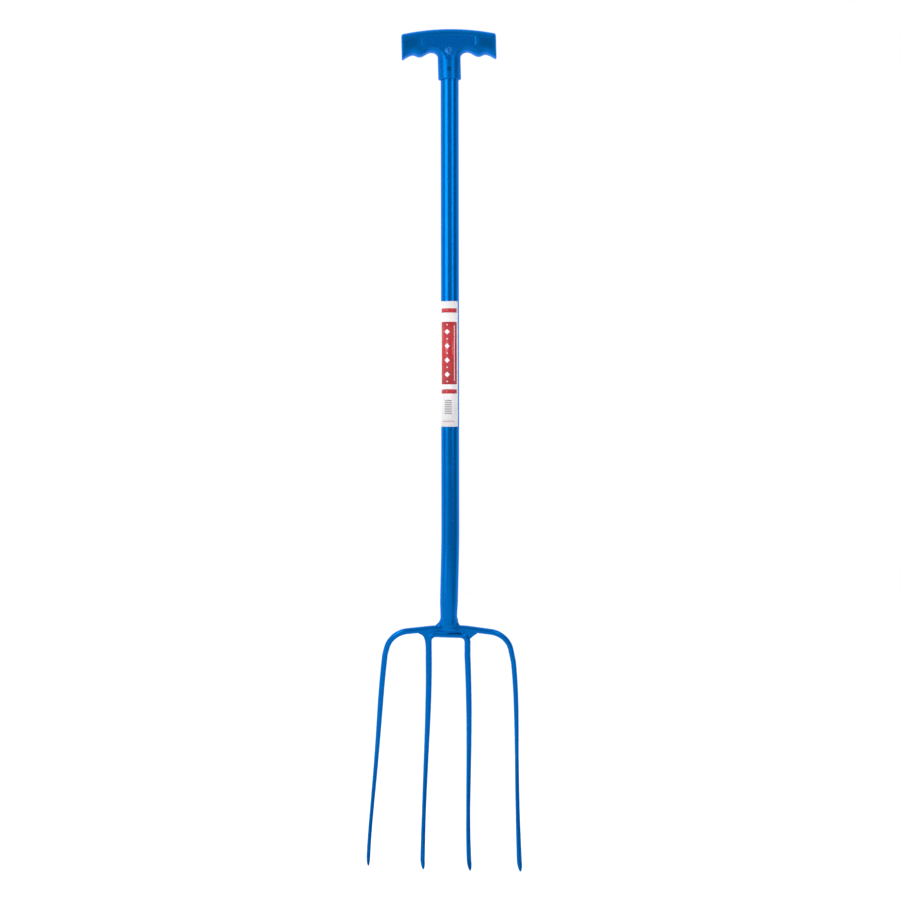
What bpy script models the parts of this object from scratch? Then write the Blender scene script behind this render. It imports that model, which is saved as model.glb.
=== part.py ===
# Four-tine manure fork with a moulded T grip, a steel tube and two bent bars.
# Lengths are in metres and +Z is up. The grip is at the top and the points are at the bottom.
# Seen from the front (from -Y), +X is to the right. The tines bow towards the back.

import math

import bmesh
import bpy
from mathutils import Vector

# Clearance between pieces that touch

FIT = 0.0003

# Shaft tube

TUBE_DIAMETER = 0.0254
TUBE_WALL = 0.0015
TUBE_STRAIGHT = 0.6567      # from the grip's mouth down to the neck bend
TUBE_INSERT = 0.050         # length held inside the grip
FOOT_DIAMETER = 0.0238      # drawn-in lower end
FOOT_TAPER = 0.024          # length over which the tube narrows
FOOT_STRAIGHT = 0.012       # narrow stretch above the foot
FOOT_SINK = 0.0008          # depth of the notches that sit over the upper crossbar
FOOT_LEAN = -0.0024         # sideways set of the foot
LEAN_START = 0.025          # height above the neck bend where that set starts

# Neck and tine curves, seen from the side

NECK_RADIUS = 0.421
NECK_ANGLE = math.radians(17)
TINE_RADIUS = 0.580

# Bars of the two bows

OUTER_BAR = 0.0086
INNER_BAR = 0.0087
CROSS_SLOPE = 0.040         # fall of the lower crossbar from left to right, per metre run
CROSS_GAP = 0.0009          # gap between the two crossbars in the middle
LEFT_KNEE_PLACE = 0.0236    # where the upper crossbar starts to fall, from the middle
RIGHT_KNEE_PLACE = 0.0200
LEFT_KNEE_FALL = 0.110      # fall beyond the knees, per metre run
RIGHT_KNEE_FALL = 0.145
KNEE_RADIUS = 0.060
LEFT_SHOULDER_RADIUS = 0.034
RIGHT_SHOULDER_RADIUS = 0.0345
INNER_BEND_RADIUS = 0.0105
FLARE_RADIUS = 0.050        # slight bend where the flare of a tine starts

# Tines: sideways places, widths and lengths, measured along the tine from between the crossbars.
# Above its flare drop a tine leans out more, by the flare, until it meets the crossbar.

TAPER_DROP = -0.001         # the bars keep their full width above this drop
BEND_DROP = 0.010           # first width station of the tines
SHOULDER_DROP = 0.049
UPPER_SHARE = 0.20          # stations between shoulder and point
MIDDLE_SHARE = 0.45
LOWER_SHARE = 0.72
BLADE_SHARE = 0.92
LEFT_OUTER = {
    "shoulder": -0.0948,
    "upper": -0.1001,
    "middle": -0.1056,
    "lower": -0.1124,
    "point": -0.1174,
    "flare": 0.150,
    "flare_drop": 0.034,
    "length": 0.3375,
    "bend_width": 0.0080,
    "shoulder_width": 0.0080,
    "upper_width": 0.0077,
    "middle_width": 0.0064,
    "lower_width": 0.0054,
    "blade_width": 0.0053,
    "point_shift": 0.0003,
}
LEFT_INNER = {
    "shoulder": -0.0309,
    "upper": -0.0319,
    "middle": -0.0349,
    "lower": -0.0382,
    "point": -0.0404,
    "flare": -0.006,
    "flare_drop": 0.036,
    "length": 0.3424,
    "bend_width": 0.0088,
    "shoulder_width": 0.0089,
    "upper_width": 0.0083,
    "middle_width": 0.0069,
    "lower_width": 0.0059,
    "blade_width": 0.0066,
    "point_shift": 0.0014,
}
RIGHT_INNER = {
    "shoulder": 0.0246,
    "upper": 0.0261,
    "middle": 0.0260,
    "lower": 0.0249,
    "point": 0.0266,
    "flare": -0.040,
    "flare_drop": 0.036,
    "length": 0.3444,
    "bend_width": 0.0087,
    "shoulder_width": 0.0086,
    "upper_width": 0.0081,
    "middle_width": 0.0070,
    "lower_width": 0.0060,
    "blade_width": 0.0066,
    "point_shift": 0.0009,
}
RIGHT_OUTER = {
    "shoulder": 0.0898,
    "upper": 0.0934,
    "middle": 0.0945,
    "lower": 0.0955,
    "point": 0.0976,
    "flare": 0.100,
    "flare_drop": 0.046,
    "length": 0.3456,
    "bend_width": 0.0078,
    "shoulder_width": 0.0074,
    "upper_width": 0.0069,
    "middle_width": 0.0056,
    "lower_width": 0.0061,
    "blade_width": 0.0073,
    "point_shift": 0.0012,
}
BLADE_THICKNESS = 0.0040
POINT_LENGTH = 0.014
POINT_THICKNESS = 0.0016

# Grip

GRIP_LENGTH = 0.1337
GRIP_HEIGHT = 0.0707        # from the mouth of the socket to the crown
GRIP_THICKNESS = 0.0326     # its flat pads stand just proud of the socket
CROWN_DROP = 0.0069         # fall of the crown from the middle to the ends
CROWN_BAND = 0.009          # height of the rounded band above the flat pads
UNDER_BAND = 0.0085         # height of the rounded band below the flat pads
INNER_GROOVE_PLACE = 0.0255
INNER_GROOVE_HEIGHT = 0.0386
RIDGE_PLACE = 0.0420
RIDGE_HEIGHT = 0.0324
OUTER_GROOVE_PLACE = 0.0515
OUTER_GROOVE_HEIGHT = 0.0352
END_HEIGHT = 0.0272
BAR_TILT = 0.0139           # how far the bar is out of square with its socket, per metre run
GRIP_LEAN = math.radians(-1.30)
SOCKET_DIAMETER = 0.0322
SOCKET_FILLET = 0.0085
SOCKET_LIP = 0.0008

# Screw of the grip

SCREW_HEIGHT = 0.0135       # above the mouth of the socket
SCREW_HEAD_DIAMETER = 0.0062
SCREW_HEAD_HEIGHT = 0.0016
SCREW_SHANK_DIAMETER = 0.0034
SCREW_LENGTH = 0.0095
SCREW_SINK = 0.0006         # depth of the head's top below the socket's face

# Label

LABEL_TOP = 0.3131          # below the mouth of the socket
LABEL_LENGTH = 0.1765
LABEL_LEFT = math.radians(-94)
LABEL_RIGHT = math.radians(57)
LABEL_THICKNESS = 0.0002
LABEL_CLEARANCE = 0.00015
LABEL_CORNER = 0.0015

# Welds

NECK_WELD_RISE = 0.0072     # height of the bead up the tube, above the crossbar
NECK_WELD_BULGE = 0.0013
NECK_WELD_LEFT_LEG = 0.0072
NECK_WELD_RIGHT_LEG = 0.0045
NECK_WELD_SIDE_RISE = 0.0100
SEAM_WIDTH = 0.0050
SEAM_DEPTH = 0.0029
SEAM_CROWN = 0.0002         # how far the seam beads stand out from the bars
SHOULDER_WELD_THICKNESS = 0.0068
SHOULDER_THINNING = 0.6     # share of its thickness that a shoulder weld loses down the tine
LEFT_WELD_LEGS = (0.0100, 0.0215)
LEFT_WELD_HOLLOW = (0.0024, 0.0044)   # sag of the face below a straight chamfer
RIGHT_WELD_LEGS = (0.0095, 0.0100)
RIGHT_WELD_HOLLOW = (0.0002, 0.0003)

# Fineness of the meshes

TUBE_SIDES = 40
BAR_SIDES = 12

ORIGIN = None


def clear_scene():
    for item in list(bpy.data.objects):
        bpy.data.objects.remove(item, do_unlink=True)


def make_material(name, colour, roughness, metallic):
    material = bpy.data.materials.new(name)
    material.use_nodes = True
    shader = material.node_tree.nodes["Principled BSDF"]
    shader.inputs["Base Color"].default_value = (*colour, 1.0)
    shader.inputs["Roughness"].default_value = roughness
    shader.inputs["Metallic"].default_value = metallic
    material.diffuse_color = (*colour, 1.0)
    return material


def make_object(name, mesh_data, material=None):
    mesh = bpy.data.meshes.new(name)
    bmesh.ops.recalc_face_normals(mesh_data, faces=mesh_data.faces)
    mesh_data.to_mesh(mesh)
    mesh_data.free()
    item = bpy.data.objects.new(name, mesh)
    bpy.context.collection.objects.link(item)
    item.parent = ORIGIN
    mesh.shade_smooth()
    mesh.set_sharp_from_angle(angle=math.radians(35))
    if material is None:
        item.hide_render = True
        item.display_type = "WIRE"
        item.hide_set(True)
    else:
        mesh.materials.append(material)
    return item


def loft(rings, closed=False):
    mesh_data = bmesh.new()
    loops = [[mesh_data.verts.new(point) for point in ring] for ring in rings]
    pairs = list(zip(loops, loops[1:]))
    if closed:
        pairs.append((loops[-1], loops[0]))
    else:
        mesh_data.faces.new(loops[0])
        mesh_data.faces.new(loops[-1])
    for first, second in pairs:
        for index in range(len(first)):
            after = (index + 1) % len(first)
            mesh_data.faces.new((first[index], first[after], second[after], second[index]))
    return mesh_data


def combine(item, other, operation):
    modifier = item.modifiers.new(operation.lower() + "_" + other.name, "BOOLEAN")
    modifier.operation = operation
    modifier.object = other
    modifier.solver = "EXACT"


def smooth_step(value):
    value = min(max(value, 0.0), 1.0)
    return value * value * (3.0 - 2.0 * value)


def between(value, stations):
    for (low, first), (high, second) in zip(stations, stations[1:]):
        if value <= high:
            return first + (second - first) * min(max((value - low) / (high - low), 0.0), 1.0)
    return stations[-1][1]


# The side curve: the neck bends back from the shaft, and the tines bow forward again below it.
# A point of the head is given by its place across, its drop along this curve and its depth.

def curve_angle(drop):
    if drop >= 0:
        return NECK_ANGLE - drop / TINE_RADIUS
    return max(NECK_ANGLE + drop / NECK_RADIUS, 0.0)


def curve_point(drop):
    angle = curve_angle(drop)
    if drop >= 0:
        back = NECK_RADIUS * (1 - math.cos(NECK_ANGLE))
        back += TINE_RADIUS * (math.cos(angle) - math.cos(NECK_ANGLE))
        down = NECK_RADIUS * math.sin(NECK_ANGLE)
        down += TINE_RADIUS * (math.sin(NECK_ANGLE) - math.sin(angle))
        return Vector((0.0, back, -down))
    back = NECK_RADIUS * (1 - math.cos(angle))
    down = NECK_RADIUS * math.sin(angle)
    if drop < -NECK_RADIUS * NECK_ANGLE:
        down = drop + NECK_RADIUS * NECK_ANGLE
    return Vector((0.0, back, -down))


def curve_back(drop):
    angle = curve_angle(drop)
    return Vector((0.0, math.cos(angle), math.sin(angle)))


def head_point(across, drop, depth=0.0):
    return curve_point(drop) + Vector((across, 0.0, 0.0)) + curve_back(drop) * depth


# Places of the two crossbars

def lower_cross_drop(across):
    return (CROSS_GAP + INNER_BAR) / 2 + across * CROSS_SLOPE


def upper_cross_drop(across):
    fall = max(-across - LEFT_KNEE_PLACE, 0.0) * LEFT_KNEE_FALL
    fall += max(across - RIGHT_KNEE_PLACE, 0.0) * RIGHT_KNEE_FALL
    return -(CROSS_GAP + OUTER_BAR) / 2 + fall


# Tines

def tine_stations(tine):
    run = tine["length"] - SHOULDER_DROP
    upper = SHOULDER_DROP + run * UPPER_SHARE
    middle = SHOULDER_DROP + run * MIDDLE_SHARE
    lower = SHOULDER_DROP + run * LOWER_SHARE
    blade = SHOULDER_DROP + run * BLADE_SHARE
    return upper, middle, lower, blade


def tine_across(tine, drop):
    upper, middle, lower, _ = tine_stations(tine)
    places = (
        (SHOULDER_DROP, tine["shoulder"]),
        (upper, tine["upper"]),
        (middle, tine["middle"]),
        (lower, tine["lower"]),
        (tine["length"], tine["point"]),
    )
    total = 0.0
    for place, value in places:
        term = value
        for other, _ in places:
            if other != place:
                term *= (drop - other) / (place - other)
        total += term
    return total


def tine_slope(tine):
    step = 0.001
    ahead = tine_across(tine, SHOULDER_DROP + step)
    return (ahead - tine_across(tine, SHOULDER_DROP)) / step


# The straight lines above the shoulder station

def tine_line(tine, drop):
    side = -1 if tine["shoulder"] < 0 else 1
    flared = min(drop - tine["flare_drop"], 0.0) * side * tine["flare"]
    return tine["shoulder"] + (drop - SHOULDER_DROP) * tine_slope(tine) + flared


def tine_size(tine, bar, drop):
    upper, middle, lower, blade = tine_stations(tine)
    widths = (
        (TAPER_DROP, bar),
        (BEND_DROP, tine["bend_width"]),
        (SHOULDER_DROP, tine["shoulder_width"]),
        (upper, tine["upper_width"]),
        (middle, tine["middle_width"]),
        (lower, tine["lower_width"]),
    )
    width = between(drop, widths + ((blade, tine["blade_width"]),))
    start = tine["length"] - POINT_LENGTH
    depth = between(drop, widths + ((start, BLADE_THICKNESS), (tine["length"], POINT_THICKNESS)))
    share = (drop - start) / POINT_LENGTH
    if share > 0:
        width *= math.sqrt(max(1.0 - share * share, 0.02))
    return width / 2, depth / 2


def tine_run(tine, bar):
    start = tine["length"] - POINT_LENGTH
    steps = 11
    drops = [SHOULDER_DROP + (start - SHOULDER_DROP) * index / steps for index in range(steps + 1)]
    drops += [start + POINT_LENGTH * share for share in (0.35, 0.62, 0.82, 0.94, 1.0)]
    run = []
    for drop in drops:
        share = max((drop - start) / POINT_LENGTH, 0.0)
        across = tine_across(tine, drop) + tine["point_shift"] * share
        run.append((across, drop, *tine_size(tine, bar, drop)))
    return run


# The bent stretch between the two tines of a bow: straight lines with a round bend at each corner

def corner(tine, cross_drop):
    drop = 0.0
    for _ in range(30):
        drop = cross_drop(tine_line(tine, drop))
    return tine_line(tine, drop), drop


def round_corner(before, at, after, radius, steps):
    at = Vector(at)
    to_before = (Vector(before) - at).normalized()
    to_after = (Vector(after) - at).normalized()
    half = to_before.angle(to_after) / 2
    reach = radius / math.tan(half)
    centre = at + (to_before + to_after).normalized() * (radius / math.sin(half))
    first = at + to_before * reach - centre
    last = at + to_after * reach - centre
    sweep = first.angle(last)
    points = []
    for index in range(steps + 1):
        share = index / steps
        points.append(centre + (first * math.sin((1 - share) * sweep)
                                + last * math.sin(share * sweep)) / math.sin(sweep))
    return [tuple(point) for point in points]


def flare_bend(tine):
    return (tine_line(tine, tine["flare_drop"]), tine["flare_drop"]), FLARE_RADIUS, 1


def bend_route(left, right, bends):
    bends = (flare_bend(left), *bends, flare_bend(right))
    corners = [(tine_line(left, SHOULDER_DROP), SHOULDER_DROP)]
    corners += [place for place, _, _ in bends]
    corners += [(tine_line(right, SHOULDER_DROP), SHOULDER_DROP)]
    route = []
    for index, (place, radius, steps) in enumerate(bends):
        route += round_corner(corners[index], place, corners[index + 2], radius, steps)
    return route


def bow_stations(left, right, bar, bends):
    stations = list(reversed(tine_run(left, bar)))
    for across, drop in bend_route(left, right, bends):
        stations.append((across, drop, *tine_size(left if across < 0 else right, bar, drop)))
    stations += tine_run(right, bar)
    return stations


def outer_stations():
    bends = (
        (corner(LEFT_OUTER, upper_cross_drop), LEFT_SHOULDER_RADIUS, 8),
        ((-LEFT_KNEE_PLACE, upper_cross_drop(0.0)), KNEE_RADIUS, 1),
        ((RIGHT_KNEE_PLACE, upper_cross_drop(0.0)), KNEE_RADIUS, 1),
        (corner(RIGHT_OUTER, upper_cross_drop), RIGHT_SHOULDER_RADIUS, 8),
    )
    return bow_stations(LEFT_OUTER, RIGHT_OUTER, OUTER_BAR, bends)


def inner_stations():
    bends = (
        (corner(LEFT_INNER, lower_cross_drop), INNER_BEND_RADIUS, 6),
        (corner(RIGHT_INNER, lower_cross_drop), INNER_BEND_RADIUS, 6),
    )
    return bow_stations(LEFT_INNER, RIGHT_INNER, INNER_BAR, bends)


def sweep(stations, grow=0.0):
    places = [head_point(across, drop) for across, drop, _, _ in stations]
    rings = []
    for index, (across, drop, width, depth) in enumerate(stations):
        before = places[max(index - 1, 0)]
        after = places[min(index + 1, len(places) - 1)]
        along = (after - before).normalized()
        back = curve_back(drop)
        side = along.cross(back).normalized()
        ring = []
        for step in range(BAR_SIDES):
            angle = 2 * math.pi * (step + 0.5) / BAR_SIDES
            # The flats of the section keep the full width and depth
            reach = 1 / math.cos(math.pi / BAR_SIDES)
            ring.append(places[index]
                        + side * ((width + grow) * reach * math.cos(angle))
                        + back * ((depth + grow) * reach * math.sin(angle)))
        rings.append(ring)
    return loft(rings)


def build_bows(steel):
    outer = make_object("outer_bow", sweep(outer_stations()), steel)
    inner = make_object("inner_bow", sweep(inner_stations()), steel)
    return outer, inner


# Shaft tube

def foot_drop():
    return upper_cross_drop(0.0) - OUTER_BAR / 2 - FIT + FOOT_SINK


def tube_radius(drop):
    narrow = foot_drop() - FOOT_STRAIGHT
    share = smooth_step((drop - (narrow - FOOT_TAPER)) / FOOT_TAPER)
    return (TUBE_DIAMETER + (FOOT_DIAMETER - TUBE_DIAMETER) * share) / 2


def tube_lean(drop):
    start = -NECK_RADIUS * NECK_ANGLE - LEAN_START
    share = (drop - start) / (foot_drop() - start)
    return FOOT_LEAN * smooth_step(share)


def tube_ring(drop, radius, sides):
    ring = []
    for step in range(sides):
        angle = 2 * math.pi * (step + 0.5) / sides
        ring.append(head_point(tube_lean(drop) + radius * math.cos(angle), drop,
                               radius * math.sin(angle)))
    return ring


def tube_drops():
    start = -NECK_RADIUS * NECK_ANGLE
    foot = foot_drop()
    narrow = foot - FOOT_STRAIGHT
    top = start - TUBE_STRAIGHT - TUBE_INSERT
    taper = narrow - FOOT_TAPER
    drops = [top, start - LEAN_START, start - LEAN_START / 2, start]
    drops += [start + (taper - start) * index / 4 for index in (1, 2, 3, 4)]
    drops += [taper + FOOT_TAPER * share for share in (0.25, 0.5, 0.75, 1.0)]
    drops += [(narrow + foot) / 2, foot]
    return drops


def screw_place():
    start = -NECK_RADIUS * NECK_ANGLE
    along = SCREW_HEIGHT
    mouth = curve_point(start - TUBE_STRAIGHT)
    return mouth + Vector((math.sin(GRIP_LEAN) * along, 0.0, math.cos(GRIP_LEAN) * along))


def disc_stack(name, place, steps, sides, material=None):
    rings = []
    for forward, radius in steps:
        ring = []
        for step in range(sides):
            angle = 2 * math.pi * step / sides
            offset = Vector((math.cos(angle) * radius, -forward, math.sin(angle) * radius))
            ring.append(place + offset)
        rings.append(ring)
    return make_object(name, loft(rings), material)


def build_tube(steel, outer_cutter):
    drops = tube_drops()
    rings = [tube_ring(drop, tube_radius(drop), TUBE_SIDES) for drop in drops]
    rings += [tube_ring(drop, tube_radius(drop) - TUBE_WALL, TUBE_SIDES)
              for drop in reversed(drops)]
    tube = make_object("shaft_tube", loft(rings, closed=True), steel)
    combine(tube, outer_cutter, "DIFFERENCE")
    hole_radius = SCREW_SHANK_DIAMETER / 2 + FIT
    hole = disc_stack("tube_hole_cutter", screw_place(),
                      ((TUBE_DIAMETER, hole_radius), (TUBE_DIAMETER / 4, hole_radius)), 20)
    combine(tube, hole, "DIFFERENCE")
    return tube


# Grip

def crown_height(across):
    half = GRIP_LENGTH / 2
    radius = (half * half + CROWN_DROP * CROWN_DROP) / (2 * CROWN_DROP)
    level = GRIP_HEIGHT - radius + math.sqrt(radius * radius - across * across)
    return level - across * BAR_TILT


def under_height(across):
    across = abs(across)
    socket = SOCKET_DIAMETER / 2
    if across < INNER_GROOVE_PLACE:
        reach = INNER_GROOVE_PLACE - socket
        share = min((INNER_GROOVE_PLACE - across) / reach, 1.0)
        return INNER_GROOVE_HEIGHT - SOCKET_FILLET * (1 - math.sqrt(1 - share * share))
    points = (
        (INNER_GROOVE_PLACE, INNER_GROOVE_HEIGHT),
        (RIDGE_PLACE, RIDGE_HEIGHT),
        (OUTER_GROOVE_PLACE, OUTER_GROOVE_HEIGHT),
        (GRIP_LENGTH / 2, END_HEIGHT),
    )
    for (low, first), (high, second) in zip(points, points[1:]):
        if across <= high:
            share = (across - low) / (high - low)
            if second == END_HEIGHT:
                return first + (second - first) * share ** 1.5
            return first + (second - first) * (1 - math.cos(share * math.pi)) / 2
    return END_HEIGHT


def grip_section(across, inset):
    top = crown_height(across) - inset
    low = under_height(across) - across * BAR_TILT + inset
    half = GRIP_THICKNESS / 2
    # Each step is a share of the band's height and a share of the half thickness
    band = ((0.0, 0.0), (0.015, 0.32), (0.10, 0.62), (0.36, 0.86), (1.0, 1.0))
    side = [(half * wide, top - CROWN_BAND * deep) for deep, wide in band]
    side += [(half * wide, low + UNDER_BAND * deep) for deep, wide in reversed(band)]
    trimmed = [(min(wide, half - inset) if wide > 0 else wide, height) for wide, height in side]
    ring = [Vector((across, wide, height)) for wide, height in trimmed]
    ring += [Vector((across, -wide, height)) for wide, height in reversed(trimmed[1:-1])]
    return ring


def grip_places():
    half = GRIP_LENGTH / 2
    socket = SOCKET_DIAMETER / 2
    reach = INNER_GROOVE_PLACE - socket
    places = [0.0, socket * 0.5, socket * 0.9]
    places += [socket + reach * share for share in (0.04, 0.16, 0.36, 0.65, 1.0)]
    for low, high, steps in ((INNER_GROOVE_PLACE, RIDGE_PLACE, 4),
                             (RIDGE_PLACE, OUTER_GROOVE_PLACE, 3),
                             (OUTER_GROOVE_PLACE, half - 0.0024, 4)):
        places += [low + (high - low) * index / steps for index in range(1, steps + 1)]
    ends = [(half - 0.0010, 0.0004), (half - 0.0003, 0.0010), (half, 0.0018)]
    right = [(place, 0.0) for place in places] + ends
    return [(-place, inset) for place, inset in reversed(right[1:])] + right


def build_grip(plastic):
    mouth = curve_point(-NECK_RADIUS * NECK_ANGLE - TUBE_STRAIGHT)
    rings = [grip_section(across, inset) for across, inset in grip_places()]
    grip = make_object("grip", loft(rings), plastic)
    grip.location = mouth
    grip.rotation_euler = (0.0, GRIP_LEAN, 0.0)

    socket_radius = SOCKET_DIAMETER / 2
    merge = (INNER_GROOVE_HEIGHT + UNDER_BAND)
    steps = (
        (0.0, socket_radius - SOCKET_LIP),
        (SOCKET_LIP, socket_radius),
        (INNER_GROOVE_HEIGHT - SOCKET_FILLET, socket_radius),
        (INNER_GROOVE_HEIGHT, (socket_radius + GRIP_THICKNESS / 2) / 2),
        (merge, GRIP_THICKNESS / 2 - SOCKET_LIP),
    )
    rings = []
    for height, radius in steps:
        ring = []
        for step in range(TUBE_SIDES):
            angle = 2 * math.pi * step / TUBE_SIDES
            ring.append(Vector((radius * math.cos(angle), radius * math.sin(angle), height)))
        rings.append(ring)
    socket = make_object("socket_shape", loft(rings))
    socket.location = mouth
    socket.rotation_euler = (0.0, GRIP_LEAN, 0.0)
    combine(grip, socket, "UNION")

    bore_radius = TUBE_DIAMETER / 2 + FIT
    rings = []
    for height in (-0.010, TUBE_INSERT + FIT):
        ring = []
        for step in range(TUBE_SIDES):
            angle = 2 * math.pi * (step + 0.5) / TUBE_SIDES
            ring.append(Vector((bore_radius * math.cos(angle), bore_radius * math.sin(angle),
                                height)))
        rings.append(ring)
    bore = make_object("bore_cutter", loft(rings))
    bore.location = mouth
    combine(grip, bore, "DIFFERENCE")

    head_radius = SCREW_HEAD_DIAMETER / 2 + FIT
    shank_radius = SCREW_SHANK_DIAMETER / 2 + FIT
    face = SOCKET_DIAMETER / 2
    seat = face - SCREW_SINK - SCREW_HEAD_HEIGHT - FIT
    hole = disc_stack("screw_hole_cutter", screw_place(),
                      ((face + 0.004, head_radius), (seat, head_radius),
                       (seat, shank_radius), (TUBE_DIAMETER / 4, shank_radius)), 20)
    combine(grip, hole, "DIFFERENCE")
    return grip


def build_screw(coated):
    face = SOCKET_DIAMETER / 2 - SCREW_SINK
    head = SCREW_HEAD_DIAMETER / 2
    shank = SCREW_SHANK_DIAMETER / 2
    steps = (
        (face, head * 0.62),
        (face - SCREW_HEAD_HEIGHT * 0.35, head),
        (face - SCREW_HEAD_HEIGHT, head),
        (face - SCREW_HEAD_HEIGHT, shank),
        (face - SCREW_LENGTH + shank, shank),
        (face - SCREW_LENGTH, shank * 0.3),
    )
    screw = disc_stack("grip_screw", screw_place(), steps, 20, coated)
    return screw


# Label

def build_label(film):
    start = -NECK_RADIUS * NECK_ANGLE
    top = curve_point(start - TUBE_STRAIGHT).z - LABEL_TOP
    low = top - LABEL_LENGTH
    inner = TUBE_DIAMETER / 2 + LABEL_CLEARANCE
    corner_angle = LABEL_CORNER / inner
    angles = [LABEL_LEFT, LABEL_LEFT + corner_angle * 0.3, LABEL_LEFT + corner_angle]
    middle_steps = 14
    run = LABEL_RIGHT - LABEL_LEFT - 2 * corner_angle
    angles += [LABEL_LEFT + corner_angle + run * index / middle_steps
               for index in range(1, middle_steps + 1)]
    angles += [LABEL_RIGHT - corner_angle * 0.3, LABEL_RIGHT]
    rings = []
    for angle in angles:
        edge = min(angle - LABEL_LEFT, LABEL_RIGHT - angle) * inner
        short = max(LABEL_CORNER - edge, 0.0)
        cut = LABEL_CORNER - math.sqrt(LABEL_CORNER * LABEL_CORNER - short * short)
        ring = []
        for radius, height in ((inner, low + cut), (inner + LABEL_THICKNESS, low + cut),
                               (inner + LABEL_THICKNESS, top - cut), (inner, top - cut)):
            ring.append(Vector((radius * math.sin(angle), -radius * math.cos(angle), height)))
        rings.append(ring)
    return make_object("label", loft(rings), film)


# Welds

# A ring of the neck bead: an oval with a narrow wing at each side that lies on the crossbar

def weld_ring(centre, height, wide, deep, left_wing, right_wing, sides=32):
    ring = []
    for step in range(sides):
        angle = 2 * math.pi * step / sides
        wing = right_wing if math.cos(angle) > 0 else left_wing
        share = max(abs(math.cos(angle)) - 0.83, 0.0) / 0.17
        across = (wide + wing * share ** 1.5) * math.cos(angle)
        ring.append(head_point(centre + across, -height, deep * math.sin(angle)))
    return ring


def build_neck_weld(steel, outer_cutter, inner_cutter):
    bar_middle = -upper_cross_drop(0.0)
    bar_top = bar_middle + OUTER_BAR / 2
    radius = FOOT_DIAMETER / 2
    inside = radius - TUBE_WALL / 2
    bulge = radius + FIT + NECK_WELD_BULGE
    side_top = bar_top + NECK_WELD_SIDE_RISE
    front_top = bar_top + NECK_WELD_RISE
    low = SEAM_WIDTH / 2 - seam_drop(0.0) + FIT
    left = NECK_WELD_LEFT_LEG - NECK_WELD_BULGE
    right = NECK_WELD_RIGHT_LEG - NECK_WELD_BULGE
    # Height, half width, half depth, and the reach of the left and right wings
    steps = (
        (side_top + 0.0040, inside, inside, 0.0, 0.0012),
        (side_top, inside, inside, TUBE_WALL / 2 + left * 0.06, TUBE_WALL + right * 0.18),
        (front_top + 0.0010, inside, inside, TUBE_WALL + left * 0.10, TUBE_WALL + right * 0.35),
        (front_top - 0.0006, radius + FIT * 2, radius + FIT * 2, left * 0.22, right * 0.42),
        (front_top - 0.0026, bulge - FIT, bulge - FIT, left * 0.42, right * 0.40),
        (front_top - 0.0048, bulge, bulge, left * 0.72, right * 0.52),
        (bar_top + FIT, bulge, bulge, left, right),
        (bar_middle + OUTER_BAR * 0.30, bulge, bulge - 0.0006, 0.0, 0.0),
        (bar_middle + OUTER_BAR * 0.05, bulge - 0.0004, bulge - 0.0022, 0.0, 0.0),
        (low, radius - 0.0006, radius - 0.0034, 0.0, 0.0),
    )
    centre = tube_lean(foot_drop())
    rings = [weld_ring(centre, *step) for step in steps]
    weld = make_object("neck_weld", loft(rings), steel)
    tube_drop_list = [drop for drop in tube_drops() if drop > foot_drop() - 0.060]
    rings = [tube_ring(drop, tube_radius(drop) + FIT, TUBE_SIDES) for drop in tube_drop_list]
    rings[-1] = tube_ring(foot_drop() + FIT, tube_radius(foot_drop()) + FIT, TUBE_SIDES)
    tube_cutter = make_object("tube_cutter", loft(rings))
    combine(weld, tube_cutter, "DIFFERENCE")
    combine(weld, outer_cutter, "DIFFERENCE")
    combine(weld, inner_cutter, "DIFFERENCE")
    return weld


def seam_drop(across):
    upper = upper_cross_drop(across) + OUTER_BAR / 2
    lower = lower_cross_drop(across) - INNER_BAR / 2
    return (upper + lower) / 2


def bend_start(tine):
    across, _ = corner(tine, lower_cross_drop)
    side = -1 if tine["shoulder"] < 0 else 1
    return across - side * INNER_BEND_RADIUS


def build_seam_weld(name, side, steel, outer_cutter, inner_cutter):
    depth_half = SEAM_DEPTH / 2
    width_half = SEAM_WIDTH / 2
    middle = OUTER_BAR / 2 + SEAM_CROWN - depth_half
    left_end = bend_start(LEFT_INNER) + FIT
    right_end = bend_start(RIGHT_INNER) - FIT
    rings = []
    steps = 8
    sides = 10
    for index in range(steps + 1):
        share = index / steps
        across = left_end + (right_end - left_end) * share
        swell = math.sqrt(max(1 - (2 * share - 1) ** 6, 0.4))
        ring = []
        for step in range(sides):
            angle = 2 * math.pi * step / sides
            ring.append(head_point(across, seam_drop(across) + width_half * math.cos(angle),
                                   side * (middle + depth_half * swell * math.sin(angle))))
        rings.append(ring)
    weld = make_object(name, loft(rings), steel)
    combine(weld, outer_cutter, "DIFFERENCE")
    combine(weld, inner_cutter, "DIFFERENCE")
    return weld


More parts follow.
